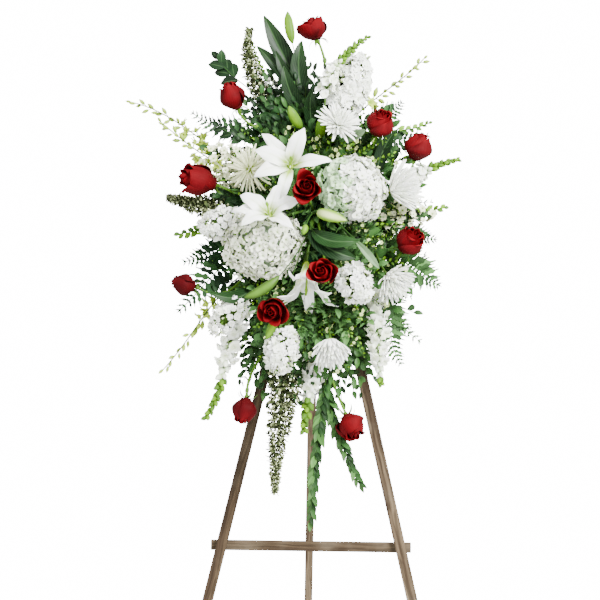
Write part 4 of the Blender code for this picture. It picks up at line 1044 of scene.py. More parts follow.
@dataclass
class Rose(Head):
    """A red rose: a tight spiral heart in ever wider petals, the outer ones rolled back at their lips."""

    tall: float = 5.0
    mouth: float = 1.0
    spin: float = 0.0
    # How much painted light its petals get: below 1 is painted shade for a rose in the shade, above 1 painted light
    bright: float = 1.0

    SLOT: ClassVar[str] = "rose_red"
    GIRTH: ClassVar[float] = 1.05
    STEM: ClassVar[float] = 2.75 * MM
    STEM_SHADES: ClassVar[tuple[Shade, Shade]] = (Shade.STEM, Shade.BUD)
    PETAL_GRID: ClassVar[tuple[int, int]] = (13, 11)

    def _petal(self, share: float, turn: float, chances: np.ndarray) -> Grid:
        """One petal.

        Args:
            share: 0 for the heart, 1 for the outermost.
            turn: Where round the rose it stands.
            chances: Random numbers for its shape.

        Returns:
            Its grid.
        """
        v, u = shares(*self.PETAL_GRID)
        wide, tall = self.radius * CM, self.tall * CM
        flare = float(np.clip((self.mouth - 0.62) / 0.4, 0.12, 1.1))
        closed = 1.0 - min(flare, 1.0)
        body, lip = np.clip(v / 0.80, 0, 1), np.clip((v - 0.80) / 0.20, 0, 1)
        inward = 1 - u * u
        width = math.radians(260 - 115 * share ** 0.5) / 2 * (1.0 - 0.50 * v ** 5)
        spread = 0.4 + 0.6 * np.sin(np.clip(v / 0.5, 0, 1) * math.pi / 2)
        theta = turn + 0.45 * closed * body + u * width * spread
        belly = wide * (0.07 + 0.77 * share ** 0.8) * (1.22 - 0.2 * flare)
        foot = min(0.20 * wide, 0.8 * belly)
        r = foot + (belly - foot) * np.sin(np.clip(body / 0.62, 0, 1) * math.pi / 2) ** 0.9
        mouth = 0.50 + (self.mouth - 0.46) * share ** 1.6
        r += belly * (mouth - 1.0) * np.clip((body - 0.45) / 0.55, 0, 1) ** 1.5
        r *= 1.0 - 0.40 * closed * np.clip((body - 0.40) / 0.60, 0, 1) ** 2
        curl = float(np.clip((share - 0.2) / 0.5, 0, 1)) * (0.4 + 0.9 * chances[0])
        r += wide * 0.16 * flare * curl * body ** 3 * inward
        r *= 1.0 - (0.08 + 0.06 * share + 0.04 * closed) * u * body + 0.05 * (inward - 0.5) * body * share
        r += wide * 0.030 * np.sin(3.2 * u + 6.3 * chances[1]) * v ** 2 * (0.3 + share)
        roll = 0.10 * wide * (0.4 + 0.6 * flare)
        turned = lip * 2.6 * curl * (0.35 + 0.65 * inward)
        level = 0.96 - (0.08 + 0.17 * flare) * share ** 1.5 + (0.015 + 0.045 * flare) * (chances[2] - 0.5)
        side = 0.05 * u * u + (0.08 + 0.18 * flare) * u ** 4 * body
        z = tall * level * body * (1 - side + 0.15 * closed * u * body) + roll * np.sin(turned)
        z += tall * 0.08 * flare * max(0.0, 1 - curl) * lip * inward
        r += roll * (1 - np.cos(turned)) * inward
        return np.stack([r * np.cos(theta), r * np.sin(theta), z], -1)

    def parts(self) -> Parts:
        """Petals in golden turns round the heart, in a small cup.

        Returns:
            The rose alone.
        """
        skin = Skin()
        draw = np.random.default_rng(self.seed)
        v, u = shares(*self.PETAL_GRID)
        petals = 16 if self.mouth > 0.85 else 13
        for i in range(petals):
            share = i / (petals - 1)
            chances = draw.random(5)
            # Painted shade and painted highlight: each petal is darker at its base and sides and, inside, towards the
            # heart, where its folds are shaded, and brightest at its rims; the random part per petal is its own tone
            inside_lit_tone = (0.10 + 0.90 * v ** 1.6) * (0.40 + 0.60 * share) - 0.12 * u ** 2 + 0.25 * (chances[3] - 0.5)
            outer = 0.10 + 0.55 * v ** 1.5 - 0.50 * np.abs(u) ** 3 + 0.50 * (chances[3] - 0.5)
            inner_tint, outer_tint = (Shade.ROSE_DEEP.to(Shade.ROSE_BRIGHT, t * self.bright) for t in (inside_lit_tone, outer))
            turn = GOLDEN_TURN * i + 0.5 * (chances[4] - 0.5) + math.radians(self.spin)
            skin.sheet(self._petal(share, turn, chances), 0.5 * MM, inner_tint, 0.6, chances[3], outside=outer_tint)
        wide = self.radius * CM
        skin.tube([Vector((0, 0, z * CM)) for z in (0.0, 0.25, 0.6, 1.0)],
                  [0.22 * wide, 0.42 * wide, 0.4 * wide, 1 * MM], 12, Shade.ROSE_DEEP.tint)
        return skin, None, ()

    def add_stem(self, skin: Skin) -> None:
        """Adds its cut stem with the calyx and its five sepals.

        Args:
            skin: The bunch that the stem belongs to.
        """
        super().add_stem(skin)
        place = Matrix.Translation(self.foot()) @ turned_to(way(*self.facing))
        skin.turned("Z", (-11, -8, -4, -1), (2.0, 3.6, 4.8, 4.6), 10, Shade.BUD.tint * 0.8, matrix=place)
        v, u = shares(8, 3)
        half = 2.6 * MM * pointed_outline(8, 0.25, 0.05)
        grid = petal(0.85 * self.radius * CM, half, half[:, None] * 0.3 * np.abs(u), (15, -10, -50, -80))
        for k in range(5):
            spin = Matrix.Rotation(2 * math.pi * k / 5, 4, "Z") @ Matrix.Translation((0, 2.5 * MM, -2.0 * MM))
            skin.sheet(grid, 0.5 * MM, Shade.STEM.to(Shade.BUD, v), 0.7, 0.5, place @ spin)


@dataclass
class Lily(Head):
    """A white lily with six tepals that curve back, a green throat, and its filaments without anthers."""

    radius: float = 9.0
    opening: float = 1.0
    turn: float = 0.0
    slim: float = 1.0
    strays: dict[int, float] = field(default_factory=dict)

    TEPAL_GRID: ClassVar[tuple[int, int]] = (26, 13)
    RISE: ClassVar[float] = 0.55
    GIRTH: ClassVar[float] = 0.45
    STEM: ClassVar[float] = 2.85 * MM
    CLOSED: ClassVar[tuple[int, ...]] = (86, 84, 78, 64, 36, 2)
    OPENED: ClassVar[tuple[int, ...]] = (62, 44, 22, 2, -20, -60)

    def _add_tepal(self, skin: Skin, k: int, chances: np.ndarray) -> None:
        """Adds one tepal: narrow where k is even, broad where it is odd.

        Args:
            skin: What it is added to.
            k: Which of the six it is.
            chances: Random numbers for its shape.
        """
        v, u = shares(*self.TEPAL_GRID)
        rise = np.sin(v * math.pi) ** 0.5
        reach, inner = self.radius * CM, k % 2
        breadth, widest = (0.36, 0.50) if inner else (0.27, 0.42)
        half = breadth * self.slim * reach / 2 * pointed_outline(len(v), widest, 0.05)
        trough = (0.70 * (1 - v) ** 1.4 - 0.22) * np.abs(u) ** 1.6 * half[:, None]
        groove = -0.018 * reach * np.exp(-(u / 0.12) ** 2) * rise
        ridges = 0.007 * reach * np.cos(u * 9.5) * (1 - u * u) * rise
        ruffle = 0.034 * reach * np.sin(v * (13 + 6 * chances[0]) + 6.3 * chances[1] + u) * np.abs(u) ** 3 * rise
        closed, opened = np.array(self.CLOSED), np.array(self.OPENED)
        angles = closed + (opened - closed) * self.opening + (8 if inner else -6) + 24 * (chances[2] - 0.5)
        grid = petal(reach * (0.95 + 0.10 * chances[0]), half, trough + groove + ridges + ruffle, angles)
        grid[..., 0] += 0.10 * reach * (chances[3] - 0.5) * v ** 2 * 2
        # Green at the throat, and a green line down the midrib that is partly the tepal's own green and partly painted
        # shade in its groove
        green = np.clip(1.7 - v / 0.24, 0, 1) * (1 - 0.3 * np.abs(u)) + 0.6 * np.exp(-(u / 0.13) ** 2) * (1 - v)
        turn = math.radians(60 * k + self.turn + self.strays.get(k, 0.0) + 16 * (chances[1] - 0.5))
        place = Matrix.Rotation(turn, 4, "Z") @ Matrix.Translation((0, 0.055 * reach, 0.05 * reach))
        skin.sheet(grid, 0.9 * MM, Shade.WHITE.to(Shade.THROAT, green), 1.0, chances[3] * 0.4, place)

    def parts(self) -> Parts:
        """Three narrow outer tepals, three broad inner ones, and what stands in their throat.

        Returns:
            The lily alone.
        """
        skin = Skin()
        draw = np.random.default_rng(self.seed)
        reach = self.radius * CM
        for k in range(6):
            self._add_tepal(skin, k, draw.random(4))
        skin.turned("Z", (0.0, 0.05, 0.12, 0.2), (0.035, 0.06, 0.07, 0.01), 12, Shade.THROAT.tint, reach)
        thread = [Vector(p) for p in petal(0.55 * reach, np.zeros(8), np.zeros((8, 1)), (86, 76, 62, 52))[:, 0]]
        for k in range(6):
            spin = Matrix.Rotation(math.radians(60 * k + self.turn + 24), 4, "Z")
            skin.tube(thread, [r * MM for r in (0.9, 0.9, 0.8, 0.8, 0.7, 0.7, 1.0, 0.5)], 6,
                      Shade.THROAT.to(Shade.CREAM, 8), spin)
        style = [Vector((0.03 * reach * s, 0, (0.08 + 0.58 * s) * reach)) for s in np.linspace(0, 1, 7)]
        skin.tube(style, [r * MM for r in (3.4, 3.2, 2.4, 1.4, 1.5, 3.6, 1.4)], 8, Shade.THROAT.to(Shade.LIME, 7))
        return skin, None, ()


def floret_petals(skin: Skin, count: int, size: float, half: Sequence[float], angles: Sequence[float],
                  shades: tuple[Shade, Shade], draw: np.random.Generator, ruffle: float,
                  base: Matrix | None = None) -> None:
    """Adds a ring of small petals that face +Z.

    Args:
        skin: What they are added to.
        count: How many there are.
        size: The length of each.
        half: Half its width at each row, as a share of its length.
        angles: How steeply it rises, in degrees, from its root to its tip.
        shades: Its colours at the root and at the tip.
        draw: Where its chances come from.
        ruffle: How wavy it is, as a share of its length.
        base: Where the ring stands.
    """
    v, u = shares(len(half), 3)
    tint = shades[0].to(shades[1], 0.25 + 1.5 * v)
    for k in range(count):
        a, b, c = draw.random(3)
        lift = size * ruffle * (2 * (a - 0.5) * u + np.sin(u * 4 + 6 * b) * v + (c - 0.6) * u * u * 1.5)
        grid = petal(size * (0.9 + 0.2 * c), size * np.array(half), lift, [x + 20 * (b - 0.5) for x in angles])
        spin = Matrix.Rotation(2 * math.pi * (k + 0.25 * a) / count, 4, "Z")
        skin.sheet(grid, 0.4 * MM, tint, 0.6, 0.5, spin if base is None else base @ spin)


def egg(radius: float, length: float, seat: float, tint: np.ndarray) -> Skin:
    """A core of the given radius and length, standing on a flat seat.

    Args:
        radius: Its radius.
        length: Its height.
        seat: The radius of its seat.
        tint: Its colour.

    Returns:
        The core.
    """
    stations = np.linspace(0.04, 0.985, 11)
    radii = [radius * math.sqrt(1 - (2 * s - 1) ** 2) for s in stations]
    lower = [max(seat, r) if s < 0.5 else r for s, r in zip(stations, radii)]
    return Skin().turned("Z", [0.0, *(length * stations)], [seat, *lower], 20, tint, 1.0)


@dataclass
class Hydrangea(Head):
    """A mophead of four-petalled florets that overlap all over it."""

    radius: float = 7.5
    tall: float = 12.0
    florets: int = 290
    wide: float = 1.0
    warm: bool = False
    young: bool = False

    COVERED: ClassVar[float] = math.radians(140)
    FLORET: ClassVar[float] = 1.05 * CM

    def _floret(self, draw: np.random.Generator, young: bool) -> Skin:
        """One floret of four broad petals round an eye, facing +Z.

        Args:
            draw: Where its chances come from.
            young: Whether it is still green.

        Returns:
            The floret.
        """
        skin = Skin()
        root = Shade.LIME if self.warm or young else Shade.CREAM
        tip = Shade.MINT if young else Shade.IVORY if self.warm else Shade.WHITE
        floret_petals(skin, 4, self.FLORET, (0.16, 0.50, 0.54, 0.22), (58, 32, 8, -15), (root, tip), draw, 0.16)
        return skin.turned("Z", (-5, 1.0, 3.0), (0.8, 1.2, 0.5), 5, Shade.LIME.tint)

    def parts(self) -> Parts:
        """The florets, evenly over all of the core but its underside.

        Returns:
            The core, the cloud and the kinds of floret.
        """
        draw = np.random.default_rng(self.seed)
        radius, length = self.radius * CM, self.tall * CM
        size = Vector((radius * self.wide, radius, 0.50 * length))
        middle = Vector((0, 0, 0.48 * length))
        cloud = Cloud(0.25, (0.55, 0.55, 0.8), self.seed)
        cap = 1 - math.cos(self.COVERED)
        for i in range(self.florets):
            height = 1 - (i + 0.5) / self.florets * cap
            flat = math.sqrt(max(0.0, 1 - height * height))
            out = Vector((flat * math.cos(GOLDEN_TURN * i), flat * math.sin(GOLDEN_TURN * i), height))
            lumps = 1.0 + 0.06 * math.sin(5 * math.atan2(out.y, out.x) + 4 * out.z)
            surface = middle + out * size * ((0.80 + 0.17 * draw.random()) * lumps)
            kind = 3 if self.young and out.x < -0.45 + 0.3 * draw.random() else i % 3
            cloud.add(surface, turned_to((surface - middle).normalized(), i * 1.9), 1.0, kind)
        # The core shows in the gaps between the florets and is tinted a darker green: painted shade between them
        core = egg(0.72 * radius, 0.86 * length, 9 * MM, Shade.MINT.tint * 0.5)
        return core, cloud, [self._floret(draw, kind == 3) for kind in range(4)]


@dataclass
class Stock(Head):
    """A short dense spike of ruffled double florets."""

    radius: float = 3.7
    tall: float = 9.0
    florets: int = 100

    GIRTH: ClassVar[float] = 0.9
    ROUNDS: ClassVar[tuple[tuple[int, float, float], ...]] = ((5, 1.10 * CM, 16), (4, 0.80 * CM, 46))

    def _floret(self, draw: np.random.Generator) -> Skin:
        """One double floret: two rounds of ruffled petals in a ball, facing +Z.

        Args:
            draw: Where its chances come from.

        Returns:
            The floret.
        """
        skin = Skin()
        for count, size, rise in self.ROUNDS:
            floret_petals(skin, count, size, (0.18, 0.50, 0.60, 0.42), (rise + 50, rise, rise - 35),
                          (Shade.LEMON, Shade.WHITE), draw, 0.30)
        return skin.turned("Z", (-11, -3, 2), (1.2, 2.0, 1.0), 5, Shade.BUD.tint)

    def parts(self) -> Parts:
        """The florets up their core, smaller and closer towards the top, with a few buds.

        Returns:
            The core, the cloud, three kinds of floret and a bud.
        """
        draw = np.random.default_rng(self.seed)
        radius, length = self.radius * CM, self.tall * CM
        cloud = Cloud(0.28, (0.5, 0.5, 1.0), self.seed)
        for i in range(self.florets):
            share = 0.02 + 0.96 * (i / (self.florets - 1)) ** 0.9
            angle = GOLDEN_TURN * i
            swell = math.sqrt(max(0.05, 1 - (2 * share - 0.9) ** 2))
            lean = math.radians(-12 + 95 * share ** 1.8)
            out = Vector((math.cos(angle) * math.cos(lean), math.sin(angle) * math.cos(lean), math.sin(lean)))
            reach = radius * (0.22 + 0.44 * swell + 0.26 * draw.random())
            surface = Vector((0, 0, (0.06 + 0.80 * share) * length)) + out * reach
            kind = 3 if draw.random() < 0.12 + 0.5 * share ** 4 else i % 3
            cloud.add(surface, turned_to(out, i * 1.3), (1.15 - 0.4 * share) * self.radius / Stock.radius, kind)
        florets = [self._floret(draw) for _ in range(3)]
        bud = Skin().turned("Z", (-6, -1, 3, 7, 9), (0.8, 2.2, 2.9, 2.0, 0.6), 6,
                            Shade.BUD.to(Shade.CREAM, np.linspace(-0.2, 0.8, 5)))
        # The core shows in the gaps between the florets and is tinted a darker green: painted shade between them
        return egg(0.36 * radius, 0.80 * length, 5 * MM, Shade.BUD.tint * 0.5), cloud, [*florets, bud]


@dataclass
class Mum(Head):
    """A spider chrysanthemum of long narrow petals: a cup where it opens forward, or a flat star."""

    radius: float = 5.0
    cup: float = 1.0
    warm: bool = False

    GIRTH: ClassVar[float] = 0.8
    STEM: ClassVar[float] = 2.09 * MM

    def _petal(self, rise: float, thin: float) -> Skin:
        """One channelled petal along +Y, one centimetre long.

        Args:
            rise: How much it curves inward, in degrees.
            thin: Half its width, in centimetres.

        Returns:
            The petal.
        """
        v, u = shares(8, 4)
        half = thin * CM * np.array([0.5, 0.7, 0.86, 0.96, 1.0, 1.0, 0.8, 0.3])
        lift = half[:, None] * 0.8 * np.abs(u) ** 1.5 * (1 - 0.5 * v)
        low, green = (Shade.CREAM, 0.40) if self.warm else (Shade.WHITE, 0.22)
        tint = low.to(Shade.THROAT, np.clip(1 - v / green, 0, 1))
        return Skin().sheet(petal(CM, half, lift, (-rise, 0, rise, rise * 1.6)), 0.03 * CM, tint, 0.8)

    def parts(self) -> Parts:
        """Rounds of petals on a small green disc.

        Returns:
            The disc, the cloud and three kinds of petal.
        """
        draw = np.random.default_rng(self.seed)
        radius = self.radius * CM
        spread, thin, counts = (0.16, 0.040, (26, 24, 20, 14)) if self.warm else (0.07, 0.056, (22, 21, 18, 15, 11, 7))
        cloud = Cloud(0.10, (spread, 0.2, spread), self.seed)
        outmost = 86 - 42 * self.cup
        for layer, count in enumerate(counts):
            inward = layer / (len(counts) - 1)
            for k in range(count):
                angle = 2 * math.pi * (k + 0.5 * (layer % 2) + 0.5 * draw.random()) / count
                lean = math.radians(outmost * (1 - 0.75 * inward) + 8 * (draw.random() - 0.5))
                away = Vector((math.cos(angle), math.sin(angle), 0))
                grow = away * math.sin(lean) + Vector((0, 0, math.cos(lean)))
                root = away * (0.15 - 0.09 * inward) * radius + Vector((0, 0, (0.10 + 0.18 * inward) * radius))
                long = radius * (1.02 - (0.50 - 0.35 * self.cup) * inward) * (0.86 + 0.14 * draw.random())
                cloud.add(root, frame_of(grow, Vector((0, 0, 1)) - away * 0.5), long / CM, min(layer // 2, 2))
        core = Skin().turned("Z", (-0.03, 0.08, 0.2, 0.30, 0.34), (0.05, 0.17, 0.18, 0.12, 0.02), 14,
                             Shade.THROAT.tint * 0.6, radius)
        bow = 14 - 26 * self.cup
        return core, cloud, [self._petal(-bow, thin), self._petal(-bow, thin * 1.1), self._petal(bow + 16, thin * 1.3)]


# The heads: name, place, facing and bunch, and how far the middle of the stem is pushed aside
HEADS: list[Head] = [
    Rose("rose_top", (-1, 42.5, 9), (-0.35, 0.9, 0.25), "greens_upper", (1, 0, 0), radius=3.4, mouth=1.05),
    Rose("rose_upper_left", (-18.5, 26, 12), (-0.45, 0.8, 0.4), "greens_upper", (-2, 0, 0), radius=3.1, tall=6.2,
         mouth=0.72),
    Rose("rose_upper_right", (13.5, 19.5, 15), (0.25, 0.6, 0.76), "greens_upper", (2, -2, 0), radius=3.5, tall=5.9,
         mouth=0.76, spin=60),
    Rose("rose_far_right", (22, 15.5, 11), (0.25, 0.85, 0.45), "greens_right", radius=3.5, tall=6.0, mouth=0.68,
         spin=60),
    Rose("rose_left", (-25.5, 7, 13), (-0.88, 0.15, 0.45), "greens_left", radius=3.7, tall=8.4, mouth=0.88,
         bright=0.75),
    Rose("rose_right", (20, -6, 14.5), (0.45, 0.5, 0.74), "greens_right", (0, -3, 0), radius=3.5, tall=6.1,
         mouth=0.84, spin=60),
    Rose("rose_centre", (-2, 2.2, 26.5), (0.05, 0, 1), "greens_front", radius=2.95, tall=4.8, mouth=1.08),
    Rose("rose_low_centre", (1.4, -15.1, 24.5), (-0.15, 0.05, 0.98), "greens_front", (0, 1, 0), radius=2.9, tall=4.8,
         mouth=1.05, spin=92, bright=1.4),
    Rose("rose_low_left", (-8.7, -22.2, 20), (-0.3, -0.40, 0.86), "greens_front", (0, -4, -2), radius=3.1, tall=4.6,
         mouth=1.10, spin=80),
    Rose("rose_far_left", (-28, -15.5, 11), (-0.92, 0.2, 0.15), "greens_left", (2, -4, 0), radius=2.6, tall=5.2,
         mouth=0.62, bright=0.1),
    Rose("rose_hanging_left", (-14.5, -42.5, 12), (-0.15, -0.98, 0.15), "greens_lower", (-2, 0, 0), radius=2.9,
         tall=5.6, mouth=0.70, spin=60),
    Rose("rose_hanging_right", (8, -45.5, 12.5), (0.35, -0.85, 0.4), "greens_lower", radius=3.3, tall=5.6, mouth=0.78,
         spin=60),
    Lily("lily_upper", (-5.6, 8.9, 20.5), (-0.05, 0.1, 1), "greens_front", radius=10.0, turn=40,
         strays={3: -148, 0: -6, 5: -6}),
    Lily("lily_middle", (-10, -2.2, 23), (-0.15, 0.42, 0.89), "greens_front", (0, 2, 2), radius=8.5, opening=0.9,
         turn=78, slim=1.15, strays={0: 18, 2: 26, 3: 24, 4: 18, 5: 34}),
    Lily("lily_hanging", (-2, -14.5, 17), (-0.05, -0.95, 0.3), "greens_front", radius=12, opening=0.3, slim=0.62),
    Hydrangea("hydrangea_right", (7.7, 4.5, 16.5), (0.15, 0.05, 1), "greens_front", radius=7.2, young=True),
    Hydrangea("hydrangea_left", (-11.2, -7.2, 15), (-0.15, -0.1, 1), "greens_front", radius=7.8, florets=350,
              wide=1.14, warm=True),
    Stock("stock_top", (7.5, 29.5, 11), (0.35, 0.92, 0.15), "greens_upper", radius=4.4, tall=12.5, florets=140),
    Stock("stock_right", (8.5, -16.5, 18.5), (0.4, -0.6, 0.7), "greens_front", tall=8.5),
    Stock("stock_low", (-7, -30.3, 15.5), (-0.1, -0.9, 0.42), "greens_lower", tall=8.8),
    Stock("stock_left", (-20, -2.9, 13.8), (-0.9, -0.05, 0.42), "greens_left"),
    Stock("stock_low_left", (-18.7, -22.8, 12), (-0.6, -0.78, 0.2), "greens_left", radius=3.2, florets=80),
    Mum("mum_left", (-14.4, 9.2, 13.5), (-0.45, -0.15, 0.88), "greens_left", radius=5.2, cup=0.0, warm=True),
    Mum("mum_top", (4.5, 19, 15.5), (0.3, 0.5, 0.8), "greens_upper", cup=0.3),
    Mum("mum_right", (17.0, 5.4, 13.0), (0.8, 0.10, 0.58), "greens_right", radius=6.4, cup=0.85),
    Mum("mum_low_right", (16, -14.2, 14.5), (0.45, -0.6, 0.66), "greens_right", radius=5.3, cup=0.9),
    Mum("mum_low", (3.4, -28.6, 15.5), (0.05, -0.85, 0.5), "greens_lower", radius=5.4),
]


# Sprays of florets along their own stems

@dataclass
class Spray(Piece):
    """A stem that carries florets or leaflets of its own, from the share flowering to its tip."""

    tip: Triple
    pointing: Triple
    flowering: float
    bend: Triple = STRAIGHT
    seed: int = 0

    STEPS: ClassVar[int] = 24

    def stem(self) -> Stem:
        """The curve of its stem."""
        return Stem.grown(self.name, at(*self.tip), way(*self.pointing), self.bend)

    def places(self, rises: Sequence[float], last: float,
               turn: float = GOLDEN_TURN) -> Iterator[tuple[Vector, Vector, Vector]]:
        """Goes up the flowering part of the stem, turning round it.

        Args:
            rises: How far up that part each place is, from 0 to 1.
            last: The share of the stem at which that part ends.
            turn: The turn from one place to the next.

        Yields:
            The place on the stem, the way along it there, and the way out from it.
        """
        stem = self.stem()
        for i, rise in enumerate(rises):
            share = self.flowering + (last - self.flowering) * rise
            yield stem.point(share), stem.along(share), stem.around(share, turn * i)

    def stalk(self, radius: float, tip_radius: float, low: Shade, high: Shade) -> Skin:
        """The stem itself, from inside its hole in the foam.

        Args:
            radius: Its radius at the foam.
            tip_radius: Its radius at the tip.
            low: Its colour at the foam.
            high: Its colour at the tip.

        Returns:
            The stem.
        """
        place, heading, foot = SOCKETS[self.name]
        hole = at(*place) - way(*heading) * STEM_DEPTH * CM
        path = [hole, at(*place), *self.stem().path(0.0, 1.0, self.STEPS)]
        taper = [radius + (tip_radius - radius) * i / self.STEPS for i in range(self.STEPS + 1)]
        return Skin().tube(path, [foot * CM, foot * CM, *taper], 8, low.to(high, len(path)))


@dataclass
class Snapdragon(Spray):
    """A spike of two-lipped white bells, with plump green buds towards its tip."""

    florets: int = 46
    plump: float = 1.0
    open: float = 0.34

    SLOT: ClassVar[str] = "spike_white"
    SIZES: ClassVar[tuple[float, ...]] = (1.15, 1.1, 1.2, 1.2)

    def _bell(self) -> Skin:
        """An open bell along +Y: a tube with ruffled lips.

        Returns:
            The bell.
        """
        skin = Skin().turned("Y", (0, 3.5, 9, 13.5), (1.5, 3.4, 4.4, 5.2), 7, Shade.LIME.to(Shade.WHITE, 4))
        face = Matrix.Translation((0, 1.2 * CM, 0)) @ Matrix.Rotation(-math.pi / 2, 4, "X")
        floret_petals(skin, 5, 1.0 * CM, (0.30, 0.50, 0.56, 0.34), (70, 30, 0, -30), (Shade.LEMON, Shade.WHITE),
                      np.random.default_rng(4), 0.18, face)
        return skin

    def parts(self) -> Parts:
        """Bells below, half-open ones above them, green buds at the tip.

        Returns:
            The stalk, the cloud, a bell and three kinds of bud.
        """
        cloud = Cloud(0.15, (0.2, 0.2, 0.3), self.seed)
        ups = [i / (self.florets - 1) for i in range(self.florets)]
        for i, (root, along, out) in enumerate(self.places([up ** 0.9 for up in ups], 0.99)):
            up = ups[i]
            kind = 0 if up < self.open else 1 if up < self.open + 0.14 else 2 + i % 2
            size = self.SIZES[kind] * (1.0 - 0.45 * up ** 2) * self.plump
            cloud.add(root, frame_of(out + along * (0.45 + 1.0 * up), along), size, kind)
        buds = [Skin().turned("Y", (0, 2.5, 6.5, 10.5, 14), (1.4, 4.2, 5.2, 3.8, 0.9), 7, low.to(high, 5))
                for low, high in ((Shade.LIME, Shade.WHITE), (Shade.STEM, Shade.LIME), (Shade.STEM, Shade.BUD))]
        return self.stalk(2.2 * MM, 1.0 * MM, Shade.STEM, Shade.BUD), cloud, [self._bell(), *buds]


@dataclass
class Orchid(Spray):
    """An arching spray of small starry orchids, with buds towards its tip."""

    florets: int = 20
    opened: float = 0.35

    SLOT: ClassVar[str] = "orchid_lime"

    def _star(self) -> Skin:
        """An open orchid along +Y on its own thin stalk: pointed petals and a lip.

        Returns:
            The flower.
        """
        skin = Skin().turned("Y", (0, 7, 12), (0.7, 0.8, 1.2), 5, Shade.BUD.tint)
        face = Matrix.Translation((0, 1.15 * CM, 0)) @ Matrix.Rotation(-math.pi / 2, 4, "X")
        floret_petals(skin, 6, 1.35 * CM, (0.12, 0.32, 0.30, 0.18, 0.04), (60, 25, 0), (Shade.LIME, Shade.LEMON),
                      np.random.default_rng(7), 0.08, face)
        return skin

    def parts(self) -> Parts:
        """Open flowers on the lower part, buds on the upper.

        Returns:
            The stalk, the cloud, an open flower and a bud.
        """
        cloud = Cloud(0.18, (0.3, 0.3, 0.4), self.seed)
        ups = [i / (self.florets - 1) for i in range(self.florets)]
        for up, (root, along, out) in zip(ups, self.places(ups, 0.985)):
            grow = out + along * (0.9 + 1.0 * up) + way(0, -0.5, 0) * 0.5
            cloud.add(root, frame_of(grow, along), 1.35 - 0.4 * up, 0 if up < self.opened else 1)
        bud = Skin().turned("Y", (0, 6, 9, 15, 21), (0.6, 0.7, 3.0, 3.7, 0.8), 6,
                            Shade.BUD.to(Shade.LEMON, np.array([0, 0.1, 0.35, 0.6, 0.6])))
        return self.stalk(1.9 * MM, 1.2 * MM, Shade.STEM, Shade.OLIVE), cloud, [self._star(), bud]


@dataclass
class Plume(Spray):
    """A feathery plume of tiny olive leaflets flecked with pale seed heads."""

    leaflets: int = 900
    wide: float = 3.3

    SLOT: ClassVar[str] = "plume_green"
    TWIGS: ClassVar[int] = 60

    def _reach(self, up: float) -> float:
        """How far its twigs reach at this share of the plume."""
        return (self.wide * (1 - up) + 0.7) * CM

    def parts(self) -> Parts:
        """Leaflets and seed heads on short side twigs all round the stem.

        Returns:
            The stalk with its twigs, the cloud, a leaflet and a seed head.
        """
        draw = np.random.default_rng(self.seed)
        cloud = Cloud(0.25, (0.6, 0.6, 0.8), self.seed)
        ups = [(i / (self.leaflets - 1)) ** 1.15 for i in range(self.leaflets)]
        for up, (root, along, out) in zip(ups, self.places(ups, 0.985)):
            grow = out + along * 0.7
            place = root + grow * self._reach(up) * 0.62 * draw.random() ** 0.6
            cloud.add(place, frame_of(grow, along), 1.1 - 0.3 * up, 0 if draw.random() < 0.42 else 1)
        v, u = shares(4, 3)
        half = 0.34 * CM * np.array([0.3, 1.0, 0.85, 0.15])
        leaf = Skin().sheet(petal(1.0 * CM, half, half[:, None] * 0.3 * np.abs(u), (12, 0, -25)), 0.5 * MM,
                            Shade.DARK.to(Shade.OLIVE, v), 0.6)
        seed_head = Skin().turned("Y", (0, 2.5, 5, 7), (0.5, 2.3, 2.1, 0.4), 5,
                                  Shade.OLIVE.to(Shade.FLECK, np.linspace(0.2, 1, 4)))
        core = self.stalk(2.0 * MM, 0.9 * MM, Shade.OLIVE, Shade.OLIVE)
        ups = [(i + 0.5) / self.TWIGS for i in range(self.TWIGS)]
        for up, (root, along, out) in zip(ups, self.places(ups, 0.97, GOLDEN_TURN * 2.0)):
            end = root + (out + along * 0.8).normalized() * self._reach(up) * 0.9
            core.tube([root, end], [0.6 * MM, 0.3 * MM], 4, Shade.OLIVE.tint)
        return core, cloud, [leaf, seed_head]


# The sprays: name, tip, the way it points, and the share of the stem from which it flowers
SPRAYS: list[Spray] = [
    Snapdragon("snapdragon_upper_left", (-14.5, 40, 6), (-0.25, 0.95, 0), 0.52, florets=30, plump=0.6),
    Snapdragon("snapdragon_upper_right", (10.8, 38.5, 15.5), (0.6, 0.8, 0), 0.45, (-4, 0, 6)),
    Snapdragon("snapdragon_right", (31, 13.5, 8), (0.97, 0.15, 0.1), 0.52),
    Snapdragon("snapdragon_lower_left", (-22.5, -44, 10), (-0.45, -0.9, 0), 0.36, (0, -2, 0), florets=54,
               plump=1.35, open=0.48),
    Snapdragon("snapdragon_lower", (-2, -46.5, 11), (-0.15, -0.98, 0), 0.42, plump=1.45, open=0.5),
    Snapdragon("snapdragon_lower_right", (14.2, -36.5, 12), (0.2, -0.95, 0), 0.42, plump=1.25, open=0.75),
    Orchid("orchid_upper_left", (-41, 25.5, 8), (-0.95, 0.2, 0), 0.50),
    Orchid("orchid_left", (-34, 20.5, 10), (-0.75, 0.65, 0), 0.50),
    Orchid("orchid_upper_right", (23.5, 36.5, 8), (0.65, 0.75, 0), 0.50, florets=18, opened=0.1),
    Orchid("orchid_lower_left", (-32, -33.5, 8), (-0.65, -0.75, 0), 0.45),
    Plume("plume_upper", (-15.2, 43.2, 6.5), (-0.15, 0.98, 0), 0.30, (-4, 0, 0), leaflets=1150, wide=4.4),
    Plume("plume_left", (-32.3, 4.2, 8), (-0.9, 0.3, 0), 0.40, leaflets=1250, wide=4.8),
    Plume("plume_lower", (-7.7, -60, 13), (0.02, -1, 0), 0.40, leaflets=1450, wide=5.2),
]


# Greens

class Green(Enum):
    """What a green stem bears."""

    FERN = "fern"
    RUSCUS = "ruscus"
    LEAF = "leaf"
    BUD = "bud"
    SPRIG = "sprig"
    BLOSSOM = "blossom"


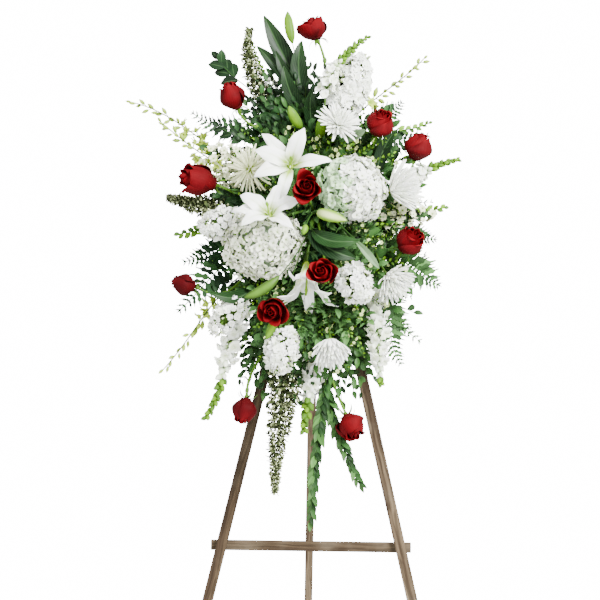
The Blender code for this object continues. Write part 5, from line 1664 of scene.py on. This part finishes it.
def pinna(low: Shade = Shade.DARK, high: Shade = Shade.FERN) -> Skin:
    """One leaflet of a leather fern along +Y, one centimetre long, its edge cut into lobes.

    Args:
        low: Its colour at the root.
        high: Its colour at the tip.

    Returns:
        The leaflet.
    """
    rows = 6
    v, u = shares(rows, 3)
    half = 0.20 * CM * pointed_outline(rows, 0.30, 0.10) * np.where(np.arange(rows) % 2 == 1, 1.0, 0.50)
    grid = petal(CM, half, half[:, None] * 0.25 * np.abs(u), (8, 0, -15))
    grid[1::2, ::2, 1] += 0.06 * CM
    return Skin().sheet(grid, 0.03 * CM, low.to(high, 0.4 + 0.6 * v), 0.8)


def small_leaf(tall: float, thick: float, low: Shade, high: Shade, rows: int = 5) -> Skin:
    """One pointed leaf along +Y, one centimetre wide.

    Args:
        tall: Its length in centimetres.
        thick: Its thickness.
        low: Its colour at the root.
        high: Its colour at the tip.
        rows: How many rows of points it has.

    Returns:
        The leaf.
    """
    v, u = shares(rows, 3)
    half = 0.5 * CM * pointed_outline(rows, 0.44, 0.06)
    lift = half[:, None] * (0.35 * np.abs(u) - 0.06 * np.sin(v * 7))
    grid = petal(tall * CM, half, lift, (14, 2, -12, -30))
    return Skin().sheet(grid, thick, low.to(high, 0.2 + 0.8 * v), 1.0, under=1.2)


def add_fern(cloud: Cloud, stem: Stem, leafy: float, width: float) -> None:
    """Sets pairs of fern leaflets along a stem, in a narrow triangle.

    Args:
        cloud: Where the leaflets go.
        stem: The stem.
        leafy: The share of it from which they grow.
        width: The width of the frond, in centimetres.
    """
    pairs = 13
    for i in range(pairs):
        up = i / (pairs - 1)
        share = leafy + (1.0 - leafy) * up
        full = float(np.interp(up, (0, 0.15, 0.35, 1.0), (0.55, 0.95, 1.0, 0.28)))
        for hand in (-1, 1):
            grow = stem.around(share, math.pi / 2 * hand) + stem.along(share) * (0.35 + 0.55 * up)
            cloud.add(stem.point(share), frame_of(grow, stem.around(share, 0)), width / 2 * full * 1.08, 0)
    cloud.add(stem.point(0.99), frame_of(stem.along(1.0), stem.around(1.0, 0)), width * 0.16, 0)


def add_leaves(cloud: Cloud, stem: Stem, leafy: float, width: float, count: int, lean: float,
               kind: int = 1) -> None:
    """Sets leaves in turn along both sides of a stem, with one at its tip.

    Args:
        cloud: Where the leaves go.
        stem: The stem.
        leafy: The share of it from which they grow.
        width: The width of the largest leaf, in centimetres.
        count: How many there are.
        lean: How much they lie along the stem.
        kind: The kind of the leaf; every second one is of the kind after it.
    """
    for i in range(count):
        up = i / (count - 1)
        share = leafy + (0.97 - leafy) * up
        along = stem.along(share)
        out = stem.around(share, math.pi / 2 * (1 if i % 2 else -1) + 0.8 * math.sin(2.4 * i))
        grow = along if i == count - 1 else along * lean + out
        cloud.add(stem.point(share), frame_of(grow, stem.around(share, 0)), width * (1.0 - 0.35 * up ** 2),
                  kind + i % 2)


def add_lily_leaf(skin: Skin, stem: Stem, leafy: float, width: float, chance: float, pale: bool = False) -> None:
    """Adds one broad strap leaf along the end of a stem.

    Args:
        skin: What it is added to.
        stem: The stem.
        leafy: The share of it from which the leaf begins.
        width: The leaf's width, in centimetres.
        chance: One random number for the leaf.
        pale: Whether it shows its pale underside.
    """
    rows, columns = 22, 9
    v, u = shares(rows, columns)
    half = width * CM / 2 * pointed_outline(rows, 0.55, 0.03) ** 0.8
    lift = half[:, None] * (0.35 * np.abs(u) ** 1.5 + 0.10 * np.sin(v * 9 + u * 1.5))
    lift = lift - 0.8 * MM * np.exp(-(u / 0.12) ** 2)
    grid = np.zeros((rows, columns, 3))
    for i in range(rows):
        share = leafy + (1 - leafy) * i / (rows - 1)
        grid[i] = (np.array(stem.point(share)) + np.outer(half[i] * u[i], stem.around(share, math.pi / 2))
                   + np.outer(lift[i], stem.around(share, 0)))
    tint = (Shade.PALE.to(Shade.MINT, 0.08 + 0.16 * v) if pale
            else Shade.DARK.to(Shade.RUSCUS, 0.05 + 0.40 * chance + 0.7 * v ** 5))
    skin.sheet(grid, 0.7 * MM, tint, 1.0, 0.2 + 0.4 * chance)


def add_bud(skin: Skin, stem: Stem, start: float, width: float, low: Shade, high: Shade) -> None:
    """Adds a closed lily bud with three ribs to the end of a stem.

    Args:
        skin: What it is added to.
        stem: The stem.
        start: The share of it from which the bud begins.
        width: The bud's width, in centimetres.
        low: Its colour along the ribs.
        high: Its colour between them.
    """
    rows, sides = 14, 18
    shape = (0.22, 0.48, 0.70, 0.84, 0.93, 0.98, 1.0, 1.0, 0.97, 0.92, 0.83, 0.68, 0.45, 0.12)
    path = stem.path(start, 1.0, rows - 1)
    skin.tube(path, [s * width * CM / 2 for s in shape], sides, low.tint)
    ribs = np.cos(3 * np.linspace(0, 2 * math.pi, sides, endpoint=False))
    middles = np.array(path)[:, None]
    points = skin.points[-1].reshape(rows, sides, 3)
    skin.points[-1] = (middles + (points - middles) * (1 + 0.07 * ribs)[None, :, None]).reshape(-1, 3)
    pale = np.clip(0.5 - 0.7 * ribs, 0, 1)[None] * np.sin(np.linspace(0.2, math.pi - 0.5, rows))[:, None]
    skin.tints[-1] = low.to(high, pale).reshape(-1, 3)


# The shades of a bud at its ribs and between them, by the leaf number of its frond
BUD_SHADES: dict[int, tuple[Shade, Shade]] = {1: (Shade.BUD, Shade.LIME), 2: (Shade.LIME, Shade.BUTTER),
                                              3: (Shade.STEM, Shade.BUD)}


@dataclass
class Frond:
    """One green stem: what it bears, the bunch that it grows from, where its tip is, and how wide it is.

    Its leaf number is the kind of leaf on a ruscus, 2 for a strap leaf that shows its pale underside, and the
    pair of shades of a bud.
    """

    kind: Green
    root: str
    tip: Triple
    pointing: Triple
    width: float
    leafy: float
    bend: Triple = STRAIGHT
    leaf: int = 1
    count: int = 18

    def grow(self, core: Skin, cloud: Cloud, draw: np.random.Generator) -> None:
        """Adds the stem and what it bears.

        Args:
            core: Takes the stem, and its strap leaf or its bud.
            cloud: Takes its small leaves.
            draw: Where its chances come from.
        """
        steps = 20
        stem = Stem.grown(self.root, at(*self.tip), way(*self.pointing), self.bend)
        last = {Green.FERN: 1.0, Green.RUSCUS: 0.97}.get(self.kind, min(1.0, self.leafy + 0.05))
        radii = [(2.0 - 1.1 * i / steps) * MM for i in range(steps + 1)]
        core.tube(stem.path(0.0, last, steps), radii, 8, Shade.STEM.to(Shade.RUSCUS, steps + 1))
        if self.kind is Green.FERN:
            add_fern(cloud, stem, self.leafy, self.width)
        elif self.kind is Green.RUSCUS:
            lean = 2.3 if self.leaf == 1 else 1.2
            add_leaves(cloud, stem, self.leafy, self.width, self.count, lean, self.leaf)
        elif self.kind is Green.LEAF:
            # Strap leaves at the top take only the darker end of their tints: painted shade
            chance = draw.random() * (0.3 if self.root == "greens_upper" else 1.0)
            add_lily_leaf(core, stem, self.leafy, self.width, chance, self.leaf == 2)
        else:
            add_bud(core, stem, self.leafy, self.width, *BUD_SHADES[self.leaf])


# The fronds of each kind: bunch, tip, the way it points, width in centimetres, and the share from which it is
# leafy, then how far its middle is pushed aside, its leaf number and how many leaves it has
FRONDS: list[Frond] = [Frond(kind, *row) for kind, rows in (
    (Green.FERN, (
        ("foliage_left", (-28.5, -21, 11), (-0.7, -0.7, 0), 8.0, 0.50),
        ("foliage_left", (-27.8, -10, 8), (-0.95, -0.3, 0), 7.0, 0.55),
        ("foliage_right", (26, -14.5, 10), (0.85, -0.5, 0), 9.0, 0.60),
        ("foliage_right", (20, -25, 10), (0.7, -0.7, 0), 7.5, 0.55),
        ("foliage_right", (18.2, -31.5, 10), (0.6, -0.8, 0), 7.0, 0.60, (2, -2, 2)),
        ("greens_upper", (-27, 23, 8), (-0.8, 0.6, 0), 6.5, 0.60, (0, 0, -4)),
        ("greens_upper", (24, 19, 7), (0.9, 0.4, 0), 7.0, 0.58),
        ("greens_upper", (18.3, 26, 8), (0.75, 0.65, 0), 6.5, 0.60, (2, 0, -2)),
        ("greens_right", (25.5, -4.5, 9), (0.98, -0.1, 0.1), 6.5, 0.60),
        ("greens_right", (22.5, 4.0, 5), (0.95, 0.15, 0), 8.0, 0.35),
    )),
    (Green.LEAF, (
        ("greens_right", (18.5, 8.5, 5), (0.8, 0.5, 0), 4.0, 0.30),
        ("greens_right", (19.5, -0.5, 8), (0.9, -0.2, 0), 3.4, 0.35),
    )),
    (Green.RUSCUS, (
        ("greens_upper", (-24.5, 15, 9), (-0.9, 0.4, 0), 2.0, 0.40, (0, 0, -3), 3, 16),
        ("greens_upper", (-22, 20.5, 9), (-0.75, 0.65, 0), 2.0, 0.45, (0, 0, -3), 3, 14),
        ("greens_left", (-22, 4.6, 9), (-0.95, -0.1, 0), 1.9, 0.40, STRAIGHT, 3, 16),
        ("greens_right", (24.5, 0.5, 9), (0.95, -0.1, 0), 1.5, 0.50, STRAIGHT, 3, 14),
        ("greens_left", (-30, -4.4, 10), (-0.97, -0.1, 0), 1.5, 0.60, STRAIGHT, 5, 14),
        ("greens_right", (28.5, 2.8, 8), (0.95, 0.2, 0), 1.2, 0.70, STRAIGHT, 5, 10),
        ("greens_upper", (25.2, 22, 8), (0.85, 0.5, 0), 1.0, 0.76, STRAIGHT, 5, 10),
        ("greens_upper", (-22.5, 37, 6), (-0.5, 0.85, 0), 2.7, 0.79, STRAIGHT, 3, 7),
        ("foliage_lower", (-0.4, -67, 15), (-0.03, -1, 0), 1.35, 0.42, STRAIGHT, 1, 42),
        ("foliage_lower", (10.5, -59, 13), (0.25, -0.97, 0), 1.35, 0.45, (-4, 0, -2), 1, 36),
    )),
    (Green.LEAF, (
        ("greens_upper", (-12, 45.5, 8.5), (-0.42, 0.9, 0.1), 4.2, 0.42),
        ("greens_upper", (-3.6, 39.5, 9.5), (0.25, 1, 0), 3.8, 0.42),
        ("greens_upper", (-9.2, 36.8, 10.5), (-0.3, 0.95, 0.1), 2.6, 0.45),
        ("greens_upper", (-7.4, 33, 11.5), (-0.1, 1, 0.1), 3.2, 0.40),
        ("greens_upper", (-1.2, 27.4, 13), (0.2, 1, 0.1), 2.8, 0.35),
        ("greens_upper", (-13.5, 39, 7), (-0.7, 0.7, 0), 2.8, 0.55),
        ("greens_upper", (6, 31, 10), (0.3, 0.95, 0), 2.6, 0.40),
        ("greens_right", (17, 19, 10), (0.7, 0.7, 0.1), 3.0, 0.50),
        ("greens_upper", (10.2, 17.2, 17.5), (0.75, 0.5, 0.3), 2.2, 0.70, STRAIGHT, 2),
        ("greens_front", (13.2, -13.2, 20), (0.8, -0.6, 0), 1.6, 0.66, (2, 0, 3), 2),
        ("greens_front", (9, -8, 23), (0.98, -0.08, 0), 3.1, 0.45, (-3, -3, 3)),
        ("greens_front", (8.3, -11.5, 22), (0.9, -0.4, 0), 4.0, 0.42, (-3, -2, 3)),
        ("greens_left", (-22.5, -17.8, 15.5), (-0.95, -0.30, 0.1), 3.0, 0.45, (3, -8, -2)),
    )),
    (Green.BUD, (
        ("greens_upper", (-6.8, 46, 10), (-0.1, 1, 0), 2.1, 0.80),
        ("greens_upper", (-6.1, 23.4, 13.5), (-0.35, 0.9, 0.3), 2.2, 0.62),
        ("greens_upper", (1.2, 21.8, 13), (0.1, 0.95, 0.3), 2.4, 0.50),
        ("greens_front", (6.2, -4.4, 25.5), (0.95, -0.30, 0.1), 2.4, 0.60, (-1.5, 0, 1), 2),
        ("greens_front", (-2.7, -7.2, 24), (-0.25, -0.95, 0.1), 1.4, 0.86),
        ("greens_front", (-14.6, -20.0, 21.5), (-0.85, -0.45, 0.2), 2.1, 0.70, (0, -3, 3), 3),
        ("greens_front", (-10, -28, 17), (-0.4, -0.9, 0), 1.9, 0.82),
    )),
) for row in rows]


@dataclass
class Bunch(Piece):
    """Everything that grows from one socket: cut stems under the heads, fronds, leaves and buds."""

    # The ferns on the right are tinted lighter and those on the left darker than the rest: painted light and painted
    # shade for a light from the right
    FERN_LIT_AND_SHADED: ClassVar[dict[str, tuple[Shade, Shade]]] = {"foliage_right": (Shade.RUSCUS, Shade.FRESH),
                                                             "foliage_left": (Shade.DARK, Shade.LILY_LEAF)}
    LEAVES: ClassVar[tuple[tuple[float, Shade, Shade], ...]] = (
        (2.8, Shade.DARK, Shade.RUSCUS), (2.5, Shade.RUSCUS, Shade.PALE), (1.7, Shade.DARK, Shade.DARK),
        (1.5, Shade.DARK, Shade.LILY_LEAF), (1.6, Shade.BUD, Shade.LIME), (1.5, Shade.RUSCUS, Shade.BUD))

    def slot(self) -> str:
        """The material slot that it takes its finish from."""
        return "fern_green" if self.name in FOLIAGE else "leaf_green"

    def parts(self) -> Parts:
        """Its foot in the foam, the stems of its heads, and its fronds.

        Returns:
            All of its stems, the cloud where it has small leaves, and the kinds of leaf.
        """
        draw = np.random.default_rng(len(self.name) * 7 + ord(self.name[-1]))
        place, heading, radius = SOCKETS[self.name]
        foot = [at(*place) + way(*heading) * step * CM for step in (-STEM_DEPTH - 0.1, 0.0, 0.5, 1.0)]
        core = Skin().tube(foot, [radius * CM * s for s in (1.0, 1.0, 0.95, 0.6)], 12, Shade.STEM.tint * 0.6)
        cloud = Cloud(0.12, (0.18, 0.18, 0.12), len(self.name))
        for head in HEADS:
            if head.bunch == self.name:
                head.add_stem(core)
        for frond in FRONDS:
            if frond.root == self.name:
                frond.grow(core, cloud, draw)
        leaves = [small_leaf(tall, 0.5 * MM, low, high, 8) for tall, low, high in self.LEAVES]
        fern = pinna(*self.FERN_LIT_AND_SHADED.get(self.name, (Shade.DARK, Shade.FERN)))
        return core, cloud if cloud.rows else None, [fern, *leaves]


@dataclass
class Thicket(Piece):
    """Stems that fan out from the foam and fill the spray behind and between its main flowers."""

    kind: Green
    stems: int
    middle: Triple
    reach: Triple
    width: float
    seed: int
    inner: float = 0.0
    pale: bool = False

    # The filling at the top is tinted darker and the one in front lighter than the rest: painted shade at the top and
    # painted light in front
    LEAF_LIT_AND_SHADED: ClassVar[dict[str, tuple[Shade, Shade]]] = {"top_leaf_filling": (Shade.DARK, Shade.LILY_LEAF),
                                                             "front_leaf_filling": (Shade.FRESH, Shade.PALE)}

    def slot(self) -> str:
        """The material slot that it takes its finish from."""
        return {Green.FERN: "fern_green", Green.BLOSSOM: "petal_white"}.get(self.kind, "leaf_green")

    def replaced(self) -> list[str]:
        """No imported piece: it is in the scene alone."""
        return []

    def parts(self) -> Parts:
        """Leaves, fern leaflets or small florets on thin stems.

        Returns:
            The stems, the cloud without what would cover a flower, and the small pieces by kind.
        """
        draw = np.random.default_rng(self.seed)
        core = Skin()
        cloud = Cloud(0.22, (0.4, 0.4, 0.4), self.seed)
        for i in range(self.stems):
            angle = GOLDEN_TURN * i + self.seed
            ring = math.sqrt(self.inner ** 2 + (1 - self.inner ** 2) * (i + 0.5) / self.stems)
            out = math.sqrt(max(0.0, 1 - ring * ring))
            squarer = (abs(math.cos(angle)) ** 3 + abs(math.sin(angle)) ** 3) ** (-1 / 3)
            tip = [self.middle[k] + s * self.reach[k] * (0.90 + 0.14 * draw.random())
                   for k, s in enumerate((math.cos(angle) * ring * squarer, math.sin(angle) * ring * squarer, out))]
            end = at(*tip)
            root = at(float(np.clip(tip[0] * 0.6, -FOAM_ACROSS, FOAM_ACROSS)),
                      float(np.clip(tip[1] * 0.7, -FOAM_UP, FOAM_UP)), 2.5 + 4.5 * out)
            away = (end - root).normalized()
            arriving = (away + OUT * 0.4 * draw.random()).normalized()
            reach = (end - root).length * STEM_REACH
            stem = Stem((root, root + (away + OUT * 0.2) * reach, end - arriving * reach, end))
            core.tube(stem.path(0.0, 0.98, 8), [(1.2 - 0.07 * k) * MM for k in range(9)], 5, Shade.STEM.tint * 0.5)
            self._bear(cloud, stem, (end - root).length / CM, draw)
        return core, cloud.cleared(), self._small_pieces()

    def _bear(self, cloud: Cloud, stem: Stem, length: float, draw: np.random.Generator) -> None:
        """Sets what it bears along one of its stems.

        Args:
            cloud: Where it goes.
            stem: The stem.
            length: The stem's length, in centimetres.
            draw: Where its chances come from.
        """
        width = self.width * (0.85 + 0.3 * draw.random())
        if self.kind is Green.FERN:
            add_fern(cloud, stem, max(0.25, 1 - 16 / length), width)
        elif self.kind is Green.BLOSSOM:
            for k in range(9):
                share = 1.0 - 0.06 * k * min(1.0, 14 / length)
                grow = stem.around(share, GOLDEN_TURN * k) + stem.along(share) * 0.6
                cloud.add(stem.point(share) + grow * 0.8 * CM, turned_to(grow.normalized()), width, 0)
        else:
            count = max(4, int(min(length, 20.0) / (0.85 * self.width + 0.2)))
            add_leaves(cloud, stem, max(0.2, 1 - 20 / length), width, count, 0.7)

    def _small_pieces(self) -> list[Skin]:
        """The small pieces that it bears.

        Returns:
            One for each kind.
        """
        if self.kind is Green.BLOSSOM:
            floret = Skin()
            tip = Shade.CREAM if self.pale else Shade.BUTTER
            floret_petals(floret, 5, 0.95 * CM, (0.20, 0.50, 0.30), (50, 20, -15), (Shade.LIME, tip),
                          np.random.default_rng(2), 0.16)
            return [floret.turned("Z", (-9, -2, 2.5), (0.7, 1.6, 1.0), 5, Shade.LIME.tint)]
        if self.kind is Green.SPRIG:
            return [pinna(), small_leaf(1.6, 0.3 * MM, Shade.BUD, Shade.LIME, 4),
                    small_leaf(1.5, 0.3 * MM, Shade.RUSCUS, Shade.BUD, 4)]
        low, high = self.LEAF_LIT_AND_SHADED.get(self.name, (Shade.RUSCUS, Shade.FRESH))
        return [pinna(low, high), small_leaf(2.1, 0.3 * MM, Shade.DARK, low),
                small_leaf(1.8, 0.3 * MM, Shade.LILY_LEAF, high)]


# The fillings: name, kind, number of stems, middle and reach of the dome that their tips lie on, width of what
# they bear, seed, and how much of the middle of the dome is left open
THICKETS: list[Thicket] = [
    Thicket("leaf_filling", Green.LEAF, 200, (-0.5, -3.0, 4.0), (23.5, 32.0, 9.0), 1.7, 9),
    Thicket("low_leaf_filling", Green.LEAF, 110, (-1.5, -31.0, 5.0), (15.0, 11.0, 7.0), 1.5, 2),
    Thicket("top_leaf_filling", Green.LEAF, 96, (-4.0, 24.5, 4.0), (13.0, 12.5, 6.0), 1.5, 6),
    Thicket("front_leaf_filling", Green.LEAF, 60, (2.0, -8.0, 9.0), (12.0, 22.0, 10.0), 1.6, 4),
    Thicket("fern_filling", Green.FERN, 54, (0.5, -4.0, 5.0), (26.0, 35.0, 6.0), 5.5, 5, 0.35),
    Thicket("front_fern_filling", Green.FERN, 44, (2.0, -10.0, 9.0), (14.0, 25.0, 9.0), 5.5, 8),
    Thicket("sprig_filling", Green.SPRIG, 100, (1.0, -4.0, 6.0), (23.0, 34.0, 10.0), 0.65, 3, 0.30),
    Thicket("blossom_filling", Green.BLOSSOM, 44, (2.5, -5.0, 6.0), (19.0, 29.0, 9.0), 0.52, 7, 0.25),
    Thicket("left_blossom_filling", Green.BLOSSOM, 14, (-20.5, 11.5, 6.0), (5.0, 5.0, 5.0), 0.9, 13, pale=True),
    Thicket("right_blossom_filling", Green.BLOSSOM, 8, (21.0, 1.2, 6.0), (4.5, 3.0, 4.0), 0.9, 17, pale=True),
    Thicket("back_leaf_filling", Green.LEAF, 110, (-0.5, -3.0, 2.5), (22.0, 31.0, 3.0), 2.6, 11),
]


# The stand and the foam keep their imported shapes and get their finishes

def leg_turn(splay: float, lean: float) -> Matrix:
    """The rotation that carries +Z along a leg."""
    return Matrix.Rotation(lean, 4, "X") @ Matrix.Rotation(splay, 4, "Y")


@dataclass(frozen=True)
class Stand:
    """The wooden easel, its hinge, and the foam in its cage."""

    light: Colour = (0.125, 0.092, 0.056)
    dark: Colour = (0.034, 0.022, 0.013)

    def dress(self, nodes: dict[str, bpy.types.Object]) -> None:
        """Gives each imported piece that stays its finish.

        Args:
            nodes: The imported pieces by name.
        """
        sideways = Matrix.Rotation(math.pi / 2, 4, "Y")
        # The left leg and the cross bar take a darker copy of the same wood: painted shade
        painted_shade_wood = tuple(c * f for c, f in zip(self.light, (0.52, 0.49, 0.46)))
        finishes = {
            "leg_left": WoodFinish("wood of the left leg", leg_turn(LEG_SPLAY, -LEAN), painted_shade_wood, self.dark),
            "leg_right": WoodFinish("wood of the right leg", leg_turn(-LEG_SPLAY, -LEAN), self.light, self.dark),
            "cross_bar": WoodFinish("wood of the cross bar", sideways, painted_shade_wood, self.dark),
            "head_block": WoodFinish("wood of the head block", sideways, self.light, self.dark),
            "rear_leg": WoodFinish("wood of the rear leg", leg_turn(0.0, REAR_SWING), self.light, self.dark),
            "foam_block": MouldedFinish("wet foam", (0.03, 0.12, 0.05), (0.06, 0.22, 0.09), 900.0, 0.8 * MM, 0.95),
            "foam_cage": MouldedFinish("cage plastic", (0.02, 0.07, 0.03), (0.04, 0.11, 0.05), 300.0, 0.2 * MM, 0.45),
            "tie_left": MouldedFinish("coated wire", (0.72, 0.73, 0.71), (0.6, 0.6, 0.57), 500.0, 0.1 * MM, 0.4),
            "hinge_frame_leaf": MouldedFinish("plated steel", (0.55, 0.54, 0.52), (0.38, 0.33, 0.28), 700.0,
                                              0.1 * MM, 0.35, 1.0),
        }
        made = {name: finish.material() for name, finish in finishes.items()}
        made["tie_right"] = made["tie_left"]
        made["hinge_leg_leaf"] = made["hinge_frame_leaf"]
        for name, material in made.items():
            nodes[name].data.materials.clear()
            nodes[name].data.materials.append(material)
            log.info("dressed %s", name)


# The studio

@dataclass(frozen=True)
class Studio:
    """A pale floor, soft light and the camera at the photograph's view."""

    camera_place: Triple = (0.0142, -3.6778, 1.023)
    lens: float = 97.08
    roll: float = math.radians(0.85)
    sensor: float = 36.0
    aim: Triple = (0.0, -0.1, 1.1)
    floor_radius: float = 1.7
    room: float = 1.8
    backdrop: float = 16.0

    def build(self) -> None:
        """Makes the camera, the floor, the world and the lights."""
        data = bpy.data.cameras.new("camera")
        data.lens, data.sensor_width = self.lens, self.sensor
        camera = linked("camera", data)
        camera.location = self.camera_place
        level = Matrix.Rotation(math.pi / 2, 4, "X")
        camera.rotation_euler = (level @ Matrix.Rotation(self.roll, 4, "Z")).to_euler()
        bpy.context.scene.camera = camera
        self._floor()
        self._room()
        self._light("key light", (1.9, -2.8, 2.9), 1.2, 620.0)
        self._light("fill light", (-2.4, -2.6, 1.8), 1.8, 60.0)
        self._light("back light", (0.6, 2.4, 2.6), 1.6, 50.0)

    def _room(self) -> None:
        """A white room whose walls are brighter to look at than the light that they give."""
        world = bpy.data.worlds.new("white room")
        world.use_nodes = True
        tree = Tree(world.node_tree)
        soft = tree.out("ShaderNodeBackground", {}, {"Color": (1, 1, 1, 1), "Strength": self.room})
        bright = tree.out("ShaderNodeBackground", {}, {"Color": (1, 1, 1, 1), "Strength": self.backdrop})
        seen = tree.out("ShaderNodeLightPath", {}, {})
        both = tree.out("ShaderNodeMixShader", {}, {0: seen, 1: soft, 2: bright})
        tree.set(world.node_tree.nodes["World Output"].inputs["Surface"], both)
        bpy.context.scene.world = world

    def _floor(self) -> None:
        """A round pale floor, a little under the feet."""
        disc = Skin().turned("Z", (-20.0, -0.5), [self.floor_radius / MM] * 2, 96, np.ones(3))
        floor = linked("floor", disc.mesh("floor"))
        shader = Shader("pale floor")
        fine = shader.noise(shader.place(), 90.0, 4.0)
        colour = shader.mixed(fine, (0.82, 0.82, 0.81), (0.88, 0.88, 0.87))
        floor.data.materials.append(shader.finished(Base_Color=colour, Roughness=fine * 0.1 + 0.7))

    def _light(self, name: str, place: Triple, size: float, power: float) -> None:
        """One soft square light that faces the flowers.

        Args:
            name: Its name.
            place: Where it stands.
            size: The length of its side.
            power: Its power in watts.
        """
        data = bpy.data.lights.new(name, "AREA")
        data.shape, data.size, data.energy = "SQUARE", size, power
        light = linked(name, data)
        light.location = place
        light.rotation_euler = (Vector(self.aim) - light.location).to_track_quat("-Z", "Y").to_euler()


def main() -> None:
    """Builds the studio and every piece in order."""
    logging.basicConfig(level=logging.INFO, format="%(message)s")
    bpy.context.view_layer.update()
    Studio().build()
    materials = {slot: finish.material() for slot, finish in FINISHES.items()}
    repeats = Repeats()
    Stand().dress(frame["nodes"])
    for row in (HEADS, SPRAYS):
        for i, piece in enumerate(row):
            piece.seed = i + 1
    for piece in (*HEADS, *SPRAYS, *(Bunch(name) for name in BUNCHES + FOLIAGE), *THICKETS):
        piece.hand_over(repeats, materials)


if __name__ == "__main__":
    main()
